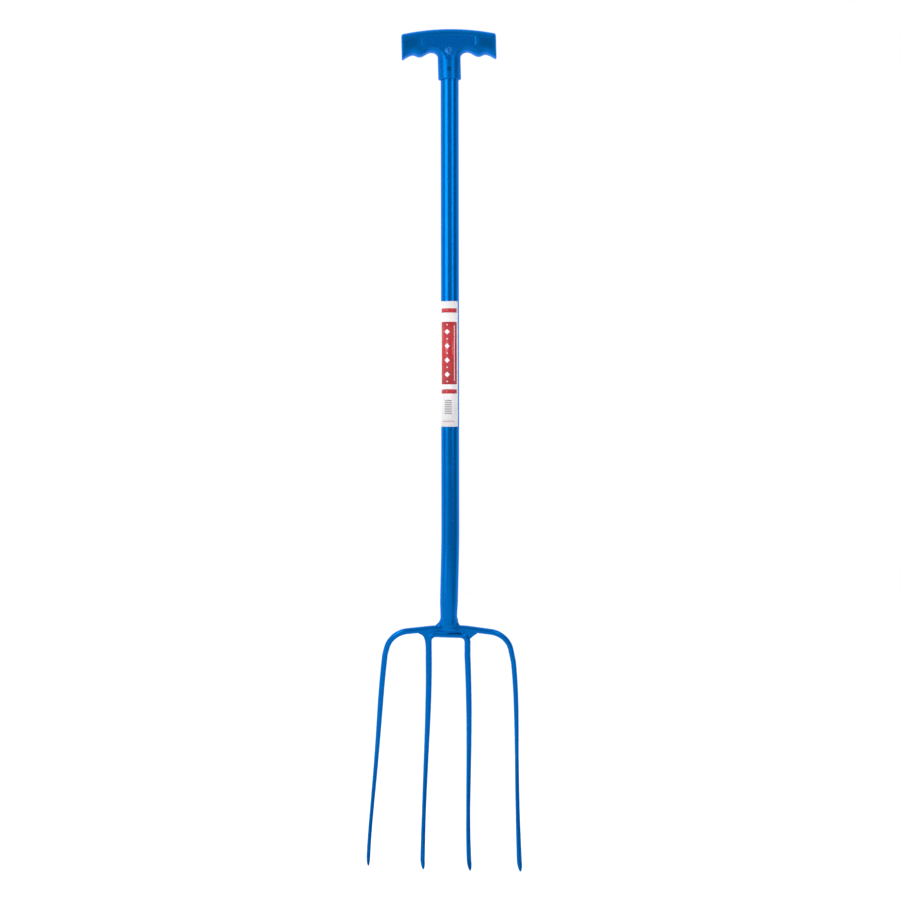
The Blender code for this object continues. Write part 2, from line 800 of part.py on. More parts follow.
def build_shoulder_weld(name, tine, legs, hollow, steel, outer_cutter, inner_cutter):
    side = -1 if tine["shoulder"] < 0 else 1
    bend_across, bend_drop = corner(tine, lower_cross_drop)
    bar_half = INNER_BAR / 2
    corner_across = bend_across + side * bar_half
    corner_drop = upper_cross_drop(corner_across) + OUTER_BAR / 2
    out_leg, down_leg = legs
    out_across = corner_across + side * out_leg
    out_drop = upper_cross_drop(out_across) + OUTER_BAR / 2
    down_drop = corner_drop + down_leg
    outline = [(out_across, out_drop - OUTER_BAR * 0.35), (out_across, out_drop)]
    steps = 5
    for index in range(1, steps):
        share = index / steps
        across = out_across - side * out_leg * share
        drop = out_drop + (down_drop - out_drop) * share
        sag = 4 * share * (1 - share)
        outline.append((across - side * hollow[0] * sag, drop - hollow[1] * sag))
    outline.append((corner_across, down_drop))
    outline.append((corner_across - side * bar_half * 0.9, down_drop))
    # Inner boundary: a little inside the bend of the lower bar
    reach = INNER_BEND_RADIUS
    centre = (bend_start(tine), bend_drop + reach)
    for angle in (math.radians(20), math.radians(50), math.radians(80)):
        outline.append((centre[0] + side * reach * math.cos(angle),
                        centre[1] - reach * math.sin(angle)))
    outline.append((centre[0], upper_cross_drop(centre[0]) + OUTER_BAR * 0.15))
    outline.append((corner_across, upper_cross_drop(corner_across) + OUTER_BAR * 0.15))
    half = SHOULDER_WELD_THICKNESS / 2
    rings = []
    for depth in (-half, half):
        ring = []
        for across, drop in outline:
            thin = 1.0 - SHOULDER_THINNING * smooth_step((drop - corner_drop) / down_leg)
            ring.append(head_point(across, drop, depth * thin))
        rings.append(ring)
    weld = make_object(name, loft(rings), steel)
    combine(weld, outer_cutter, "DIFFERENCE")
    combine(weld, inner_cutter, "DIFFERENCE")
    return weld


def stand_on_origin(pieces):
    bpy.context.view_layer.update()
    depsgraph = bpy.context.evaluated_depsgraph_get()
    low = Vector((1e9, 1e9, 1e9))
    high = -low
    for piece in pieces:
        evaluated = piece.evaluated_get(depsgraph)
        mesh = evaluated.to_mesh()
        for vertex in mesh.vertices:
            point = evaluated.matrix_world @ vertex.co
            low = Vector(min(pair) for pair in zip(low, point))
            high = Vector(max(pair) for pair in zip(high, point))
        evaluated.to_mesh_clear()
    ORIGIN.location = (-(low.x + high.x) / 2, -(low.y + high.y) / 2, -low.z)
    bpy.context.view_layer.update()


def main():
    global ORIGIN
    clear_scene()
    ORIGIN = bpy.data.objects.new("fork_origin", None)
    bpy.context.collection.objects.link(ORIGIN)
    steel = make_material("blue_coated_steel", (0.001, 0.105, 0.42), 0.32, 0.0)
    plastic = make_material("blue_plastic", (0.001, 0.095, 0.37), 0.42, 0.0)
    screw_finish = make_material("blue_coated_screw", (0.001, 0.085, 0.33), 0.40, 0.3)
    film = make_material("white_film", (0.78, 0.77, 0.78), 0.38, 0.0)

    outer, inner = build_bows(steel)
    outer_cutter = make_object("outer_bow_cutter", sweep(outer_stations(), FIT))
    inner_cutter = make_object("inner_bow_cutter", sweep(inner_stations(), FIT))
    pieces = [outer, inner]
    pieces.append(build_tube(steel, outer_cutter))
    pieces.append(build_grip(plastic))
    pieces.append(build_screw(screw_finish))
    pieces.append(build_label(film))
    pieces.append(build_neck_weld(steel, outer_cutter, inner_cutter))
    for name, side in (("seam_weld_front", -1), ("seam_weld_back", 1)):
        pieces.append(build_seam_weld(name, side, steel, outer_cutter, inner_cutter))
    pieces.append(build_shoulder_weld("shoulder_weld_left", LEFT_INNER, LEFT_WELD_LEGS,
                                      LEFT_WELD_HOLLOW, steel, outer_cutter, inner_cutter))
    pieces.append(build_shoulder_weld("shoulder_weld_right", RIGHT_INNER, RIGHT_WELD_LEGS,
                                      RIGHT_WELD_HOLLOW, steel, outer_cutter, inner_cutter))
    stand_on_origin(pieces)


main()
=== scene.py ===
# Looks of a manure fork: coated steel tube and tines, a moulded T grip and a printed label.
# Lengths are in metres. The fork stands on its points and its front faces -Y.
import math

import bmesh
import bpy
import numpy as np
from mathutils import Matrix, Vector


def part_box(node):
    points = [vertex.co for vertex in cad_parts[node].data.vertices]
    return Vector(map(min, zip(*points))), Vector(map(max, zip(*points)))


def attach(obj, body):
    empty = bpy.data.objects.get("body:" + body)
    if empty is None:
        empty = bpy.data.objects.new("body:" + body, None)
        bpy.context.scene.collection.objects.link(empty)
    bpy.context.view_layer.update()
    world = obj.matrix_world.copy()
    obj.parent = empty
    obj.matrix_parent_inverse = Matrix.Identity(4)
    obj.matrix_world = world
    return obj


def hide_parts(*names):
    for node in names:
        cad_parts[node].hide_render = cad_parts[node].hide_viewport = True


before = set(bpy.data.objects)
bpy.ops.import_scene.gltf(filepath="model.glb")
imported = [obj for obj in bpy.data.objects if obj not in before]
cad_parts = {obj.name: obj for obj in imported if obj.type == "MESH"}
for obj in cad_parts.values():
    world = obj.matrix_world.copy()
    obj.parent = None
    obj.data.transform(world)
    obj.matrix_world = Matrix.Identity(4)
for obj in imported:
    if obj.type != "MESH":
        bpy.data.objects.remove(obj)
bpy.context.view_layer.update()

body = "root"


# Side curve of the head, as the bars are bent

sideCurve = {
    "neckRadius": 0.421,
    "neckAngle": math.radians(17),
    "tineRadius": 0.580,
}

tube = {
    "diameter": 0.0254,
    "straight": 0.6567,
    "insert": 0.050,
    "footDiameter": 0.0238,
    "footTaper": 0.024,
    "footStraight": 0.012,
    "footSink": -0.0012,
    "footSlant": 0.19,
    "footSlantReach": 0.016,
    "footLean": -0.0024,
    "leanStart": 0.025,
    "cadSides": 40,
    "sides": 96,
    "straightSteps": 60,
    "neckSteps": 90,
}

bars = {
    "outer": 0.0086,
    "inner": 0.0087,
    "crossSlope": 0.040,
    "crossGap": 0.0009,
    "leftKneePlace": 0.0236,
    "rightKneePlace": 0.0200,
    "leftKneeFall": 0.110,
    "rightKneeFall": 0.145,
    "kneeRadius": 0.060,
    "leftShoulderRadius": 0.034,
    "rightShoulderRadius": 0.0345,
    "innerBendRadius": 0.0105,
    "flareRadius": 0.050,
    "taperDrop": -0.001,
    "bendDrop": 0.010,
    "shoulderDrop": 0.049,
    "upperShare": 0.20,
    "middleShare": 0.45,
    "lowerShare": 0.72,
    "bladeShare": 0.92,
    "bladeThickness": 0.0040,
    "pointLength": 0.014,
    "pointThickness": 0.0016,
    "pointFullShare": 0.9,
    "pointFall": 9.5,
    "pointLeastWidth": 0.01,
    "pointLeastDepth": 0.2,
    "twistStart": 0.17,
    "twistRun": 0.10,
    "sides": 40,
    "waver": 0.012,
    "shoulderSteps": 28,
    "kneeSteps": 5,
    "innerBendSteps": 16,
    "flareSteps": 4,
    "routeSpacing": 0.002,
    "tineSteps": 90,
    "pointSteps": 16,
}

# Places across at the shoulder, upper, middle and lower stations and at the point of each tine.
# Its widths start at the bend, and the last one is where the blade is widest.
# Above its flare drop a tine leans out more, by the flare, until it meets the crossbar.
leftOuter = {
    "across": (-0.0948, -0.1001, -0.1056, -0.1124, -0.1174),
    "widths": (0.0080, 0.0080, 0.0077, 0.0064, 0.0054, 0.0053),
    "flare": 0.150,
    "flareDrop": 0.034,
    "length": 0.3375,
    "pointShift": 0.0003,
    "twist": 0.0,
}
leftInner = {
    "across": (-0.0309, -0.0319, -0.0349, -0.0382, -0.0404),
    "widths": (0.0088, 0.0089, 0.0083, 0.0069, 0.0059, 0.0066),
    "flare": -0.006,
    "flareDrop": 0.036,
    "length": 0.3424,
    "pointShift": 0.0014,
    "twist": math.radians(18),
}
rightInner = {
    "across": (0.0246, 0.0261, 0.0260, 0.0249, 0.0266),
    "widths": (0.0087, 0.0086, 0.0081, 0.0070, 0.0060, 0.0066),
    "flare": -0.040,
    "flareDrop": 0.036,
    "length": 0.3444,
    "pointShift": 0.0009,
    "twist": 0.0,
}
rightOuter = {
    "across": (0.0898, 0.0934, 0.0945, 0.0955, 0.0976),
    "widths": (0.0078, 0.0074, 0.0069, 0.0056, 0.0061, 0.0073),
    "flare": 0.100,
    "flareDrop": 0.046,
    "length": 0.3456,
    "pointShift": 0.0012,
    "twist": math.radians(18),
}

tubeLow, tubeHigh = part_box("shaft_tube")
gripLow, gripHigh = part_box("grip")
neckStart = -sideCurve["neckRadius"] * sideCurve["neckAngle"]
shaftX = tubeHigh.x - tube["diameter"] / 2 * math.cos(math.pi / tube["cadSides"])
shaftY = (gripLow.y + gripHigh.y) / 2
mouthZ = tubeHigh.z - tube["insert"]
headOrigin = Vector((shaftX, shaftY, mouthZ - tube["straight"]))
mouth = Vector((shaftX, shaftY, mouthZ))


# Eases from 0 to 1, for a number or an array
def smooth(value):
    value = np.clip(value, 0.0, 1.0)
    return value * value * (3.0 - 2.0 * value)


def evenSteps(first, last, steps):
    return [first + (last - first) * index / steps for index in range(steps + 1)]


def curveAngle(drop):
    if drop >= 0:
        return sideCurve["neckAngle"] - drop / sideCurve["tineRadius"]
    return max(sideCurve["neckAngle"] + drop / sideCurve["neckRadius"], 0.0)


def curvePoint(drop):
    neckRadius = sideCurve["neckRadius"]
    neckAngle = sideCurve["neckAngle"]
    tineRadius = sideCurve["tineRadius"]
    angle = curveAngle(drop)
    if drop >= 0:
        back = neckRadius * (1 - math.cos(neckAngle))
        back += tineRadius * (math.cos(angle) - math.cos(neckAngle))
        down = neckRadius * math.sin(neckAngle)
        down += tineRadius * (math.sin(neckAngle) - math.sin(angle))
        return Vector((0.0, back, -down))
    down = neckRadius * math.sin(angle)
    if drop < neckStart:
        down = drop - neckStart
    return Vector((0.0, neckRadius * (1 - math.cos(angle)), -down))


def curveBack(drop):
    angle = curveAngle(drop)
    return Vector((0.0, math.cos(angle), math.sin(angle)))


# A point of the head: across, drop along the side curve from between the crossbars, and depth
# to the back
def headPoint(across, drop, depth=0.0):
    return headOrigin + curvePoint(drop) + Vector((across, 0.0, 0.0)) + curveBack(drop) * depth


def lowerCrossDrop(across):
    return (bars["crossGap"] + bars["inner"]) / 2 + across * bars["crossSlope"]


def upperCrossDrop(across):
    fall = max(-across - bars["leftKneePlace"], 0.0) * bars["leftKneeFall"]
    fall += max(across - bars["rightKneePlace"], 0.0) * bars["rightKneeFall"]
    return -(bars["crossGap"] + bars["outer"]) / 2 + fall


# Small makers of meshes and objects

def newObject(name, mesh):
    item = bpy.data.objects.new(name, mesh)
    bpy.context.scene.collection.objects.link(item)
    return item


def meshFrom(name, data):
    mesh = bpy.data.meshes.new(name)
    data.to_mesh(mesh)
    data.free()
    return mesh


def facesOut(mesh):
    data = bmesh.new()
    data.from_mesh(mesh)
    bmesh.ops.recalc_face_normals(data, faces=data.faces)
    if data.calc_volume(signed=True) < 0:
        bmesh.ops.reverse_faces(data, faces=data.faces)
    data.to_mesh(mesh)
    data.free()


def solidFrom(name, data):
    item = newObject(name, meshFrom(name, data))
    facesOut(item.data)
    return item


# The evaluated object as a plain mesh, with its modifiers used up
def settle(item, name):
    bpy.context.view_layer.update()
    depsgraph = bpy.context.evaluated_depsgraph_get()
    mesh = bpy.data.meshes.new_from_object(item.evaluated_get(depsgraph), depsgraph=depsgraph)
    mesh.transform(item.matrix_world)
    mesh.name = name
    bpy.data.objects.remove(item)
    return newObject(name, mesh)


def dress(piece, material, slot, *nodes):
    if material is not None:
        piece.data.materials.clear()
        piece.data.materials.append(material)
    piece.data.shade_smooth()
    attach(piece, body)
    if nodes:
        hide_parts(*nodes)
    return piece


def joinLoops(data, loops):
    for first, second in zip(loops, loops[1:]):
        for index in range(len(first)):
            after = (index + 1) % len(first)
            data.faces.new((first[index], first[after], second[after], second[index]))


# A closed skin over a row of rings
def loftRings(rings):
    data = bmesh.new()
    loops = [[data.verts.new(point) for point in ring] for ring in rings]
    data.faces.new(loops[0])
    data.faces.new(loops[-1])
    joinLoops(data, loops)
    return data


# Points that carry named arrows and numbers for a tree to read, joined in a line or loose
def pointMesh(name, places, arrows, numbers, joined=True):
    mesh = bpy.data.meshes.new(name)
    edges = [(index, index + 1) for index in range(len(places) - 1)] if joined else []
    mesh.from_pydata(places, edges, [])
    for key, values in arrows.items():
        layer = mesh.attributes.new(key, "FLOAT_VECTOR", "POINT")
        flat = np.array([tuple(value) for value in values], np.float32).ravel()
        layer.data.foreach_set("vector", flat)
    for key, values in numbers.items():
        layer = mesh.attributes.new(key, "FLOAT", "POINT")
        layer.data.foreach_set("value", np.array(values, np.float32))
    return mesh


# Small makers of node trees

def addNode(tree, kind, inputs=None, **settings):
    node = tree.nodes.new(kind)
    for key, value in settings.items():
        setattr(node, key, value)
    for key, value in (inputs or {}).items():
        if isinstance(value, bpy.types.NodeSocket):
            tree.links.new(value, node.inputs[key])
        else:
            node.inputs[key].default_value = value
    return node


def maths(tree, operation, first, second=0.0):
    return addNode(tree, "ShaderNodeMath", {0: first, 1: second}, operation=operation).outputs[0]


def vectors(tree, operation, first, second):
    node = addNode(tree, "ShaderNodeVectorMath", {0: first, 1: second}, operation=operation)
    return node.outputs["Value" if operation == "DOT_PRODUCT" else "Vector"]


def scaled(tree, vector, amount):
    return addNode(tree, "ShaderNodeVectorMath", {"Vector": vector, "Scale": amount},
                   operation="SCALE").outputs["Vector"]


def combine(tree, x=0.0, y=0.0, z=0.0):
    return addNode(tree, "ShaderNodeCombineXYZ", {"X": x, "Y": y, "Z": z}).outputs[0]


def negative(tree, value):
    return maths(tree, "MULTIPLY", value, -1.0)


def attribute(tree, name, kind="FLOAT"):
    return addNode(tree, "GeometryNodeInputNamedAttribute", {"Name": name},
                   data_type=kind).outputs["Attribute"]


def geometryTree(name, inputs):
    tree = bpy.data.node_groups.new(name, "GeometryNodeTree")
    tree.interface.new_socket("Geometry", in_out="INPUT", socket_type="NodeSocketGeometry")
    for label, kind, value in inputs:
        socket = tree.interface.new_socket(label, in_out="INPUT", socket_type="NodeSocket" + kind)
        if value is not None:
            socket.default_value = value
    tree.interface.new_socket("Geometry", in_out="OUTPUT", socket_type="NodeSocketGeometry")
    return tree, tree.nodes.new("NodeGroupInput").outputs


def endTree(tree, geometry, material):
    real = addNode(tree, "GeometryNodeRealizeInstances", {"Geometry": geometry})
    painted = addNode(tree, "GeometryNodeSetMaterial",
                      {"Geometry": real.outputs[0], "Material": material})
    end = tree.nodes.new("NodeGroupOutput")
    tree.links.new(painted.outputs[0], end.inputs[0])


def runTree(item, tree, values, name):
    modifier = item.modifiers.new(tree.name, "NODES")
    modifier.node_group = tree
    for socket in tree.interface.items_tree:
        if socket.in_out == "INPUT" and socket.name in values:
            modifier[socket.identifier] = values[socket.name]
    return settle(item, name)


# Materials. Every pattern reads Object coordinates, in metres.
# Patches are given by scale, detail and their lowest and highest value, and relief by scale,
# detail, strength and height.

finishes = {
    "steelColour": (0.0004, 0.112, 0.402),
    "steelDeep": (0.0003, 0.105, 0.378),
    "steelEdge": (0.005, 0.40, 1.0),
    "steelMetal": 0.62,
    "steelSheen": 0.55,
    "steelMottle": (42.0, 3.0, 0.0, 1.0),
    "steelRough": (160.0, 3.0, 0.21, 0.28),
    "steelPeel": (420.0, 1.0, 0.08, 0.00012),
    "steelGrain": (2600.0, 1.0, 0.06, 0.00003),
    "gripColour": (0.0005, 0.098, 0.350),
    "gripDeep": (0.0004, 0.093, 0.330),
    "gripEdge": (0.005, 0.36, 1.0),
    "gripMetal": 0.54,
    "gripSheen": 0.80,
    "gripFlow": (30.0, 2.0, 0.0, 1.0),
    "gripRough": (220.0, 3.0, 0.31, 0.40),
    "gripSpark": (1900.0, 2.0, 0.22, 0.00005, 0.6),
    # Painted shade: a darker blue for the thumb recesses, standing in for the shade that falls in
    # those hollows
    "gripRecessShade": (0.0003, 0.074, 0.258),
    # Painted glint: a bright blue given to the leaning studs in colour, standing in for their
    # highlight
    "studPaintedGlint": (0.055, 0.40, 0.95),
    "studSmoothing": 0.12,
    # Painted shade: the screw is a much darker blue than the coat, standing in for the shade in its
    # seat and cross recess
    "screwShadedColour": (0.0003, 0.045, 0.155),
    "screwShadedDeep": (0.0003, 0.034, 0.120),
    "screwMetal": 0.45,
    "screwWear": (900.0, 3.0, 0.0, 1.0, 0.45, 0.75),
    "screwRough": (700.0, 2.0, 0.34, 0.50),
    "screwGrain": (1800.0, 2.0, 0.25, 0.00005),
    "specularLevel": 0.03,
    "sheenRoughness": 0.50,
    "labelWhite": (0.72, 0.70, 0.72),
    "labelWhiteDeep": (0.69, 0.68, 0.70),
    "labelWhiteRough": (300.0, 2.0, 0.31, 0.42),
    "labelRed": (0.42, 0.012, 0.020),
    "labelRedDeep": (0.36, 0.010, 0.017),
    "labelRedRough": (300.0, 2.0, 0.29, 0.40),
    "labelGrey": (0.16, 0.15, 0.17),
    "labelGreyDeep": (0.13, 0.125, 0.14),
    "labelGreyRough": (300.0, 2.0, 0.35, 0.46),
    "filmTone": (85.0, 3.0, 0.0, 1.0),
    "filmRipple": (140.0, 2.0, 0.07, 0.00012),
}


def newMaterial(name):
    material = bpy.data.materials.new(name)
    material.use_nodes = True
    tree = material.node_tree
    shader = tree.nodes["Principled BSDF"]
    where = tree.nodes.new("ShaderNodeTexCoord").outputs["Object"]
    return material, tree, shader, where


def noise(tree, where, scale, detail, roughness=0.5):
    return addNode(tree, "ShaderNodeTexNoise", {"Vector": where, "Scale": scale,
                   "Detail": detail, "Roughness": roughness}).outputs["Fac"]


def spread(tree, value, low, high, start, end, shape="LINEAR"):
    return addNode(tree, "ShaderNodeMapRange", {
        "Value": value, "From Min": start, "From Max": end, "To Min": low, "To Max": high},
        interpolation_type=shape).outputs["Result"]


def patches(tree, where, scale, detail, low, high, start=0.3, end=0.7):
    return spread(tree, noise(tree, where, scale, detail), low, high, start, end)


def mixColour(tree, amount, first, second):
    node = addNode(tree, "ShaderNodeMix", {"Factor": amount}, data_type="RGBA")
    for socket, value in ((node.inputs[6], first), (node.inputs[7], second)):
        if isinstance(value, bpy.types.NodeSocket):
            tree.links.new(value, socket)
        else:
            socket.default_value = (*value, 1.0)
    return node.outputs[2]


def relief(tree, where, scale, detail, strength, height, roughness=0.5, below=None):
    inputs = {"Height": noise(tree, where, scale, detail, roughness), "Strength": strength,
              "Distance": height}
    if below is not None:
        inputs["Normal"] = below
    return addNode(tree, "ShaderNodeBump", inputs).outputs["Normal"]


def joinShader(tree, shader, colour, rough, normal):
    for name, output in (("Base Color", colour), ("Roughness", rough), ("Normal", normal)):
        tree.links.new(output, shader.inputs[name])


# Values that are the same all over a piece
def setShine(shader, metal, edge=None, sheen=0.0):
    values = {"Metallic": metal, "Specular IOR Level": finishes["specularLevel"]}
    if edge is not None:
        values["Specular Tint"] = values["Sheen Tint"] = (*edge, 1.0)
        values["Sheen Weight"] = sheen
        values["Sheen Roughness"] = finishes["sheenRoughness"]
    for name, value in values.items():
        shader.inputs[name].default_value = value


# Blue stoved coat: orange peel, a slight mottle and a pale sheen at its edges
def makeSteelCoat():
    material, tree, shader, where = newMaterial("blueStovedCoat")
    mottle = patches(tree, where, *finishes["steelMottle"])
    colour = mixColour(tree, mottle, finishes["steelColour"], finishes["steelDeep"])
    rough = patches(tree, where, *finishes["steelRough"])
    peel = relief(tree, where, *finishes["steelPeel"])
    grain = relief(tree, where, *finishes["steelGrain"], below=peel)
    joinShader(tree, shader, colour, rough, grain)
    setShine(shader, finishes["steelMetal"], finishes["steelEdge"], finishes["steelSheen"])
    return material


# Blue moulded plastic: a fine spark texture, soft flow marks, painted shade in the thumb recesses
# and a painted glint on some studs
def makeGripPlastic():
    material, tree, shader, where = newMaterial("blueMouldedPlastic")
    flow = patches(tree, where, *finishes["gripFlow"])
    colour = mixColour(tree, flow, finishes["gripColour"], finishes["gripDeep"])
    recessShade, smoothAndGlint = (addNode(tree, "ShaderNodeAttribute", attribute_name=name).outputs["Fac"]
                      for name in ("recessShade", "polishAndGlint"))
    # Painted shade: the thumb recesses are darkened in colour, for the shade in them
    colour = mixColour(tree, recessShade, colour, finishes["gripRecessShade"])
    # Painted glint: the leaning studs are given a bright blue in colour, standing in for their
    # highlight, and are made smoother
    colour = mixColour(tree, smoothAndGlint, colour, finishes["studPaintedGlint"])
    rough = patches(tree, where, *finishes["gripRough"])
    smoothed = maths(tree, "MULTIPLY", smoothAndGlint, finishes["studSmoothing"])
    rough = maths(tree, "SUBTRACT", rough, smoothed)
    spark = relief(tree, where, *finishes["gripSpark"])
    joinShader(tree, shader, colour, rough, spark)
    setShine(shader, finishes["gripMetal"], finishes["gripEdge"], finishes["gripSheen"])
    return material


def makeScrewCoat():
    material, tree, shader, where = newMaterial("blueCoatedScrew")
    # Painted shade: the screw is coloured a dark blue for the shade in its seat and cross recess,
    # in random patches of two tones
    worn = patches(tree, where, *finishes["screwWear"])
    colour = mixColour(tree, worn, finishes["screwShadedColour"], finishes["screwShadedDeep"])
    rough = patches(tree, where, *finishes["screwRough"])
    grain = relief(tree, where, *finishes["screwGrain"])
    joinShader(tree, shader, colour, rough, grain)
    setShine(shader, finishes["screwMetal"])
    return material


# Printed film: satin, faintly rippled where it wraps the tube
def makeFilm(name, tint):
    material, tree, shader, where = newMaterial(name)
    tone = patches(tree, where, *finishes["filmTone"])
    colour = mixColour(tree, tone, finishes[tint], finishes[tint + "Deep"])
    rough = patches(tree, where, *finishes[tint + "Rough"])
    ripple = relief(tree, where, *finishes["filmRipple"])
    joinShader(tree, shader, colour, rough, ripple)
    return material


steelCoat = makeSteelCoat()
gripPlastic = makeGripPlastic()
screwCoat = makeScrewCoat()
labelWhite = makeFilm("whiteFilm", "labelWhite")
labelRed = makeFilm("redPrint", "labelRed")
labelGrey = makeFilm("greyPrint", "labelGrey")
print("materials made")


# Sweep: a round section along a line of points that carry their half width, flatness and back

def makeSweepTree():
    tree, given = geometryTree("roundBar", (
        ("Sides", "Int", 40),
        ("Waver", "Float", 0.0),
        ("Waver Scale", "Float", 60.0),
        ("Material", "Material", None),
    ))
    line = addNode(tree, "GeometryNodeMeshToCurve", {"Mesh": given["Geometry"]})
    ring = addNode(tree, "GeometryNodeCurvePrimitiveCircle",
                   {"Resolution": given["Sides"], "Radius": 1.0})
    skin = addNode(tree, "GeometryNodeCurveToMesh", {
        "Curve": line.outputs[0], "Profile Curve": ring.outputs[0],
        "Scale": attribute(tree, "halfWidth"), "Fill Caps": True,
    })
    place = tree.nodes.new("GeometryNodeInputPosition").outputs[0]
    centre = attribute(tree, "centre", "FLOAT_VECTOR")
    back = attribute(tree, "back", "FLOAT_VECTOR")
    reach = vectors(tree, "SUBTRACT", place, centre)
    ripple = addNode(tree, "ShaderNodeTexNoise", {
        "Vector": place, "Scale": given["Waver Scale"], "Detail": 1.0}).outputs["Fac"]
    swell = maths(tree, "ADD", maths(tree, "MULTIPLY", maths(tree, "SUBTRACT", ripple, 0.5),
                                     given["Waver"]), 1.0)
    reach = scaled(tree, reach, swell)
    thin = maths(tree, "SUBTRACT", attribute(tree, "flatness"), 1.0)
    press = scaled(tree, back, maths(tree, "MULTIPLY", vectors(tree, "DOT_PRODUCT", reach, back),
                                     thin))
    moved = vectors(tree, "ADD", vectors(tree, "ADD", centre, reach), press)
    shaped = addNode(tree, "GeometryNodeSetPosition",
                     {"Geometry": skin.outputs[0], "Position": moved})
    endTree(tree, shaped.outputs[0], given["Material"])
    return tree


# Stations: across, drop, half width, half depth and the twist of the blade
def sweepPiece(name, stations, sides, waver=0.0):
    places = [headPoint(*row[:2]) for row in stations]
    level = Vector((1.0, 0.0, 0.0))
    backs = [curveBack(row[1]) * math.cos(row[4]) + level * math.sin(row[4]) for row in stations]
    mesh = pointMesh(name, places, {"centre": places, "back": backs}, {
        "halfWidth": [row[2] for row in stations],
        "flatness": [row[3] / row[2] for row in stations]})
    piece = runTree(newObject(name + "Line", mesh), sweepTree, {
        "Sides": sides, "Waver": waver, "Material": steelCoat}, name)
    for label in ("centre", "back", "halfWidth", "flatness"):
        layer = piece.data.attributes.get(label)
        if layer is not None:
            piece.data.attributes.remove(layer)
    facesOut(piece.data)
    return piece


sweepTree = makeSweepTree()


# Shaft tube

def footDrop():
    return upperCrossDrop(0.0) - bars["outer"] / 2 + tube["footSink"]


def tubeRadius(drop):
    narrow = footDrop() - tube["footStraight"]
    share = smooth((drop - (narrow - tube["footTaper"])) / tube["footTaper"])
    return (tube["diameter"] + (tube["footDiameter"] - tube["diameter"]) * share) / 2


def tubeLean(drop):
    start = neckStart - tube["leanStart"]
    return tube["footLean"] * smooth((drop - start) / (footDrop() - start))


def makeTube():
    top = neckStart - tube["straight"] - tube["insert"]
    drops = evenSteps(top, neckStart, tube["straightSteps"])[:-1]
    drops += evenSteps(neckStart, footDrop(), tube["neckSteps"])
    stations = [(tubeLean(drop), drop, tubeRadius(drop), tubeRadius(drop), 0.0) for drop in drops]
    piece = sweepPiece("shaftTube", stations, tube["sides"])
    foot = headPoint(tubeLean(footDrop()), footDrop())
    for vertex in piece.data.vertices:
        near = smooth(1.0 - (vertex.co.z - foot.z) / tube["footSlantReach"])
        vertex.co.z += (vertex.co.x - foot.x) * tube["footSlant"] * near
    return dress(piece, None, "coated_steel", "shaft_tube")


makeTube()
print("shaft tube made")


# Tines and crossbars: each bow is one bar, bent, and drawn out towards its two points

def between(value, stations):
    for (low, first), (high, second) in zip(stations, stations[1:]):
        if value <= high:
            return first + (second - first) * min(max((value - low) / (high - low), 0.0), 1.0)
    return stations[-1][1]


def tinePlaces(tine):
    run = tine["length"] - bars["shoulderDrop"]
    shares = (0.0, bars["upperShare"], bars["middleShare"], bars["lowerShare"], bars["bladeShare"])
    return [bars["shoulderDrop"] + run * share for share in shares]


def tineAcross(tine, drop):
    places = tinePlaces(tine)[:4] + [tine["length"]]
    total = 0.0
    for place, value in zip(places, tine["across"]):
        for other in places:
            if other != place:
                value *= (drop - other) / (place - other)
        total += value
    return total


# The straight lines above the shoulder station
def tineLine(tine, drop):
    start = bars["shoulderDrop"]
    step = 0.001
    slope = (tineAcross(tine, start + step) - tineAcross(tine, start)) / step
    side = -1 if tine["across"][0] < 0 else 1
    flared = min(drop - tine["flareDrop"], 0.0) * side * tine["flare"]
    return tine["across"][0] + (drop - start) * slope + flared


def tineSize(tine, bar, drop):
    places = [bars["bendDrop"]] + tinePlaces(tine)
    widths = [(bars["taperDrop"], bar)] + list(zip(places, tine["widths"]))
    start = tine["length"] - bars["pointLength"]
    width = between(drop, widths)
    depth = between(drop, widths[:6]
                    + [(start, bars["bladeThickness"]), (tine["length"], bars["pointThickness"])])
    share = (drop - start) / bars["pointLength"]
    if share > 0:
        # Round seen from the front, blunt seen from the side
        width *= math.sqrt(max(1.0 - share * share, bars["pointLeastWidth"]))
        blunt = max(share - bars["pointFullShare"], 0.0) * bars["pointFall"]
        depth *= math.sqrt(max(1.0 - blunt, bars["pointLeastDepth"]))
    return width / 2, depth / 2


def tineRun(tine, bar):
    start = tine["length"] - bars["pointLength"]
    drops = evenSteps(bars["shoulderDrop"], start, bars["tineSteps"])
    drops += [start + bars["pointLength"] * math.sin(math.pi / 2 * index / bars["pointSteps"])
              for index in range(1, bars["pointSteps"] + 1)]
    run = []
    for drop in drops:
        share = max((drop - start) / bars["pointLength"], 0.0)
        across = tineAcross(tine, drop) + tine["pointShift"] * share
        turned = tine["twist"] * smooth((drop - bars["twistStart"]) / bars["twistRun"])
        run.append((across, drop, *tineSize(tine, bar, drop), turned))
    return run


# Where a tine's line meets its crossbar, found by going to and fro between them
def cornerPlace(tine, crossDrop):
    drop = 0.0
    rounds = 30
    for _ in range(rounds):
        drop = crossDrop(tineLine(tine, drop))
    return tineLine(tine, drop), drop


def roundCorner(before, at, after, radius, steps):
    at = Vector(at)
    toBefore = (Vector(before) - at).normalized()
    toAfter = (Vector(after) - at).normalized()
    half = toBefore.angle(toAfter) / 2
    centre = at + (toBefore + toAfter).normalized() * (radius / math.sin(half))
    first = at + toBefore * (radius / math.tan(half)) - centre
    last = at + toAfter * (radius / math.tan(half)) - centre
    turn = first.angle(last)
    points = []
    for index in range(steps + 1):
        share = index / steps
        points.append(centre + (first * math.sin((1 - share) * turn)
                                + last * math.sin(share * turn)) / math.sin(turn))
    return [tuple(point) for point in points]


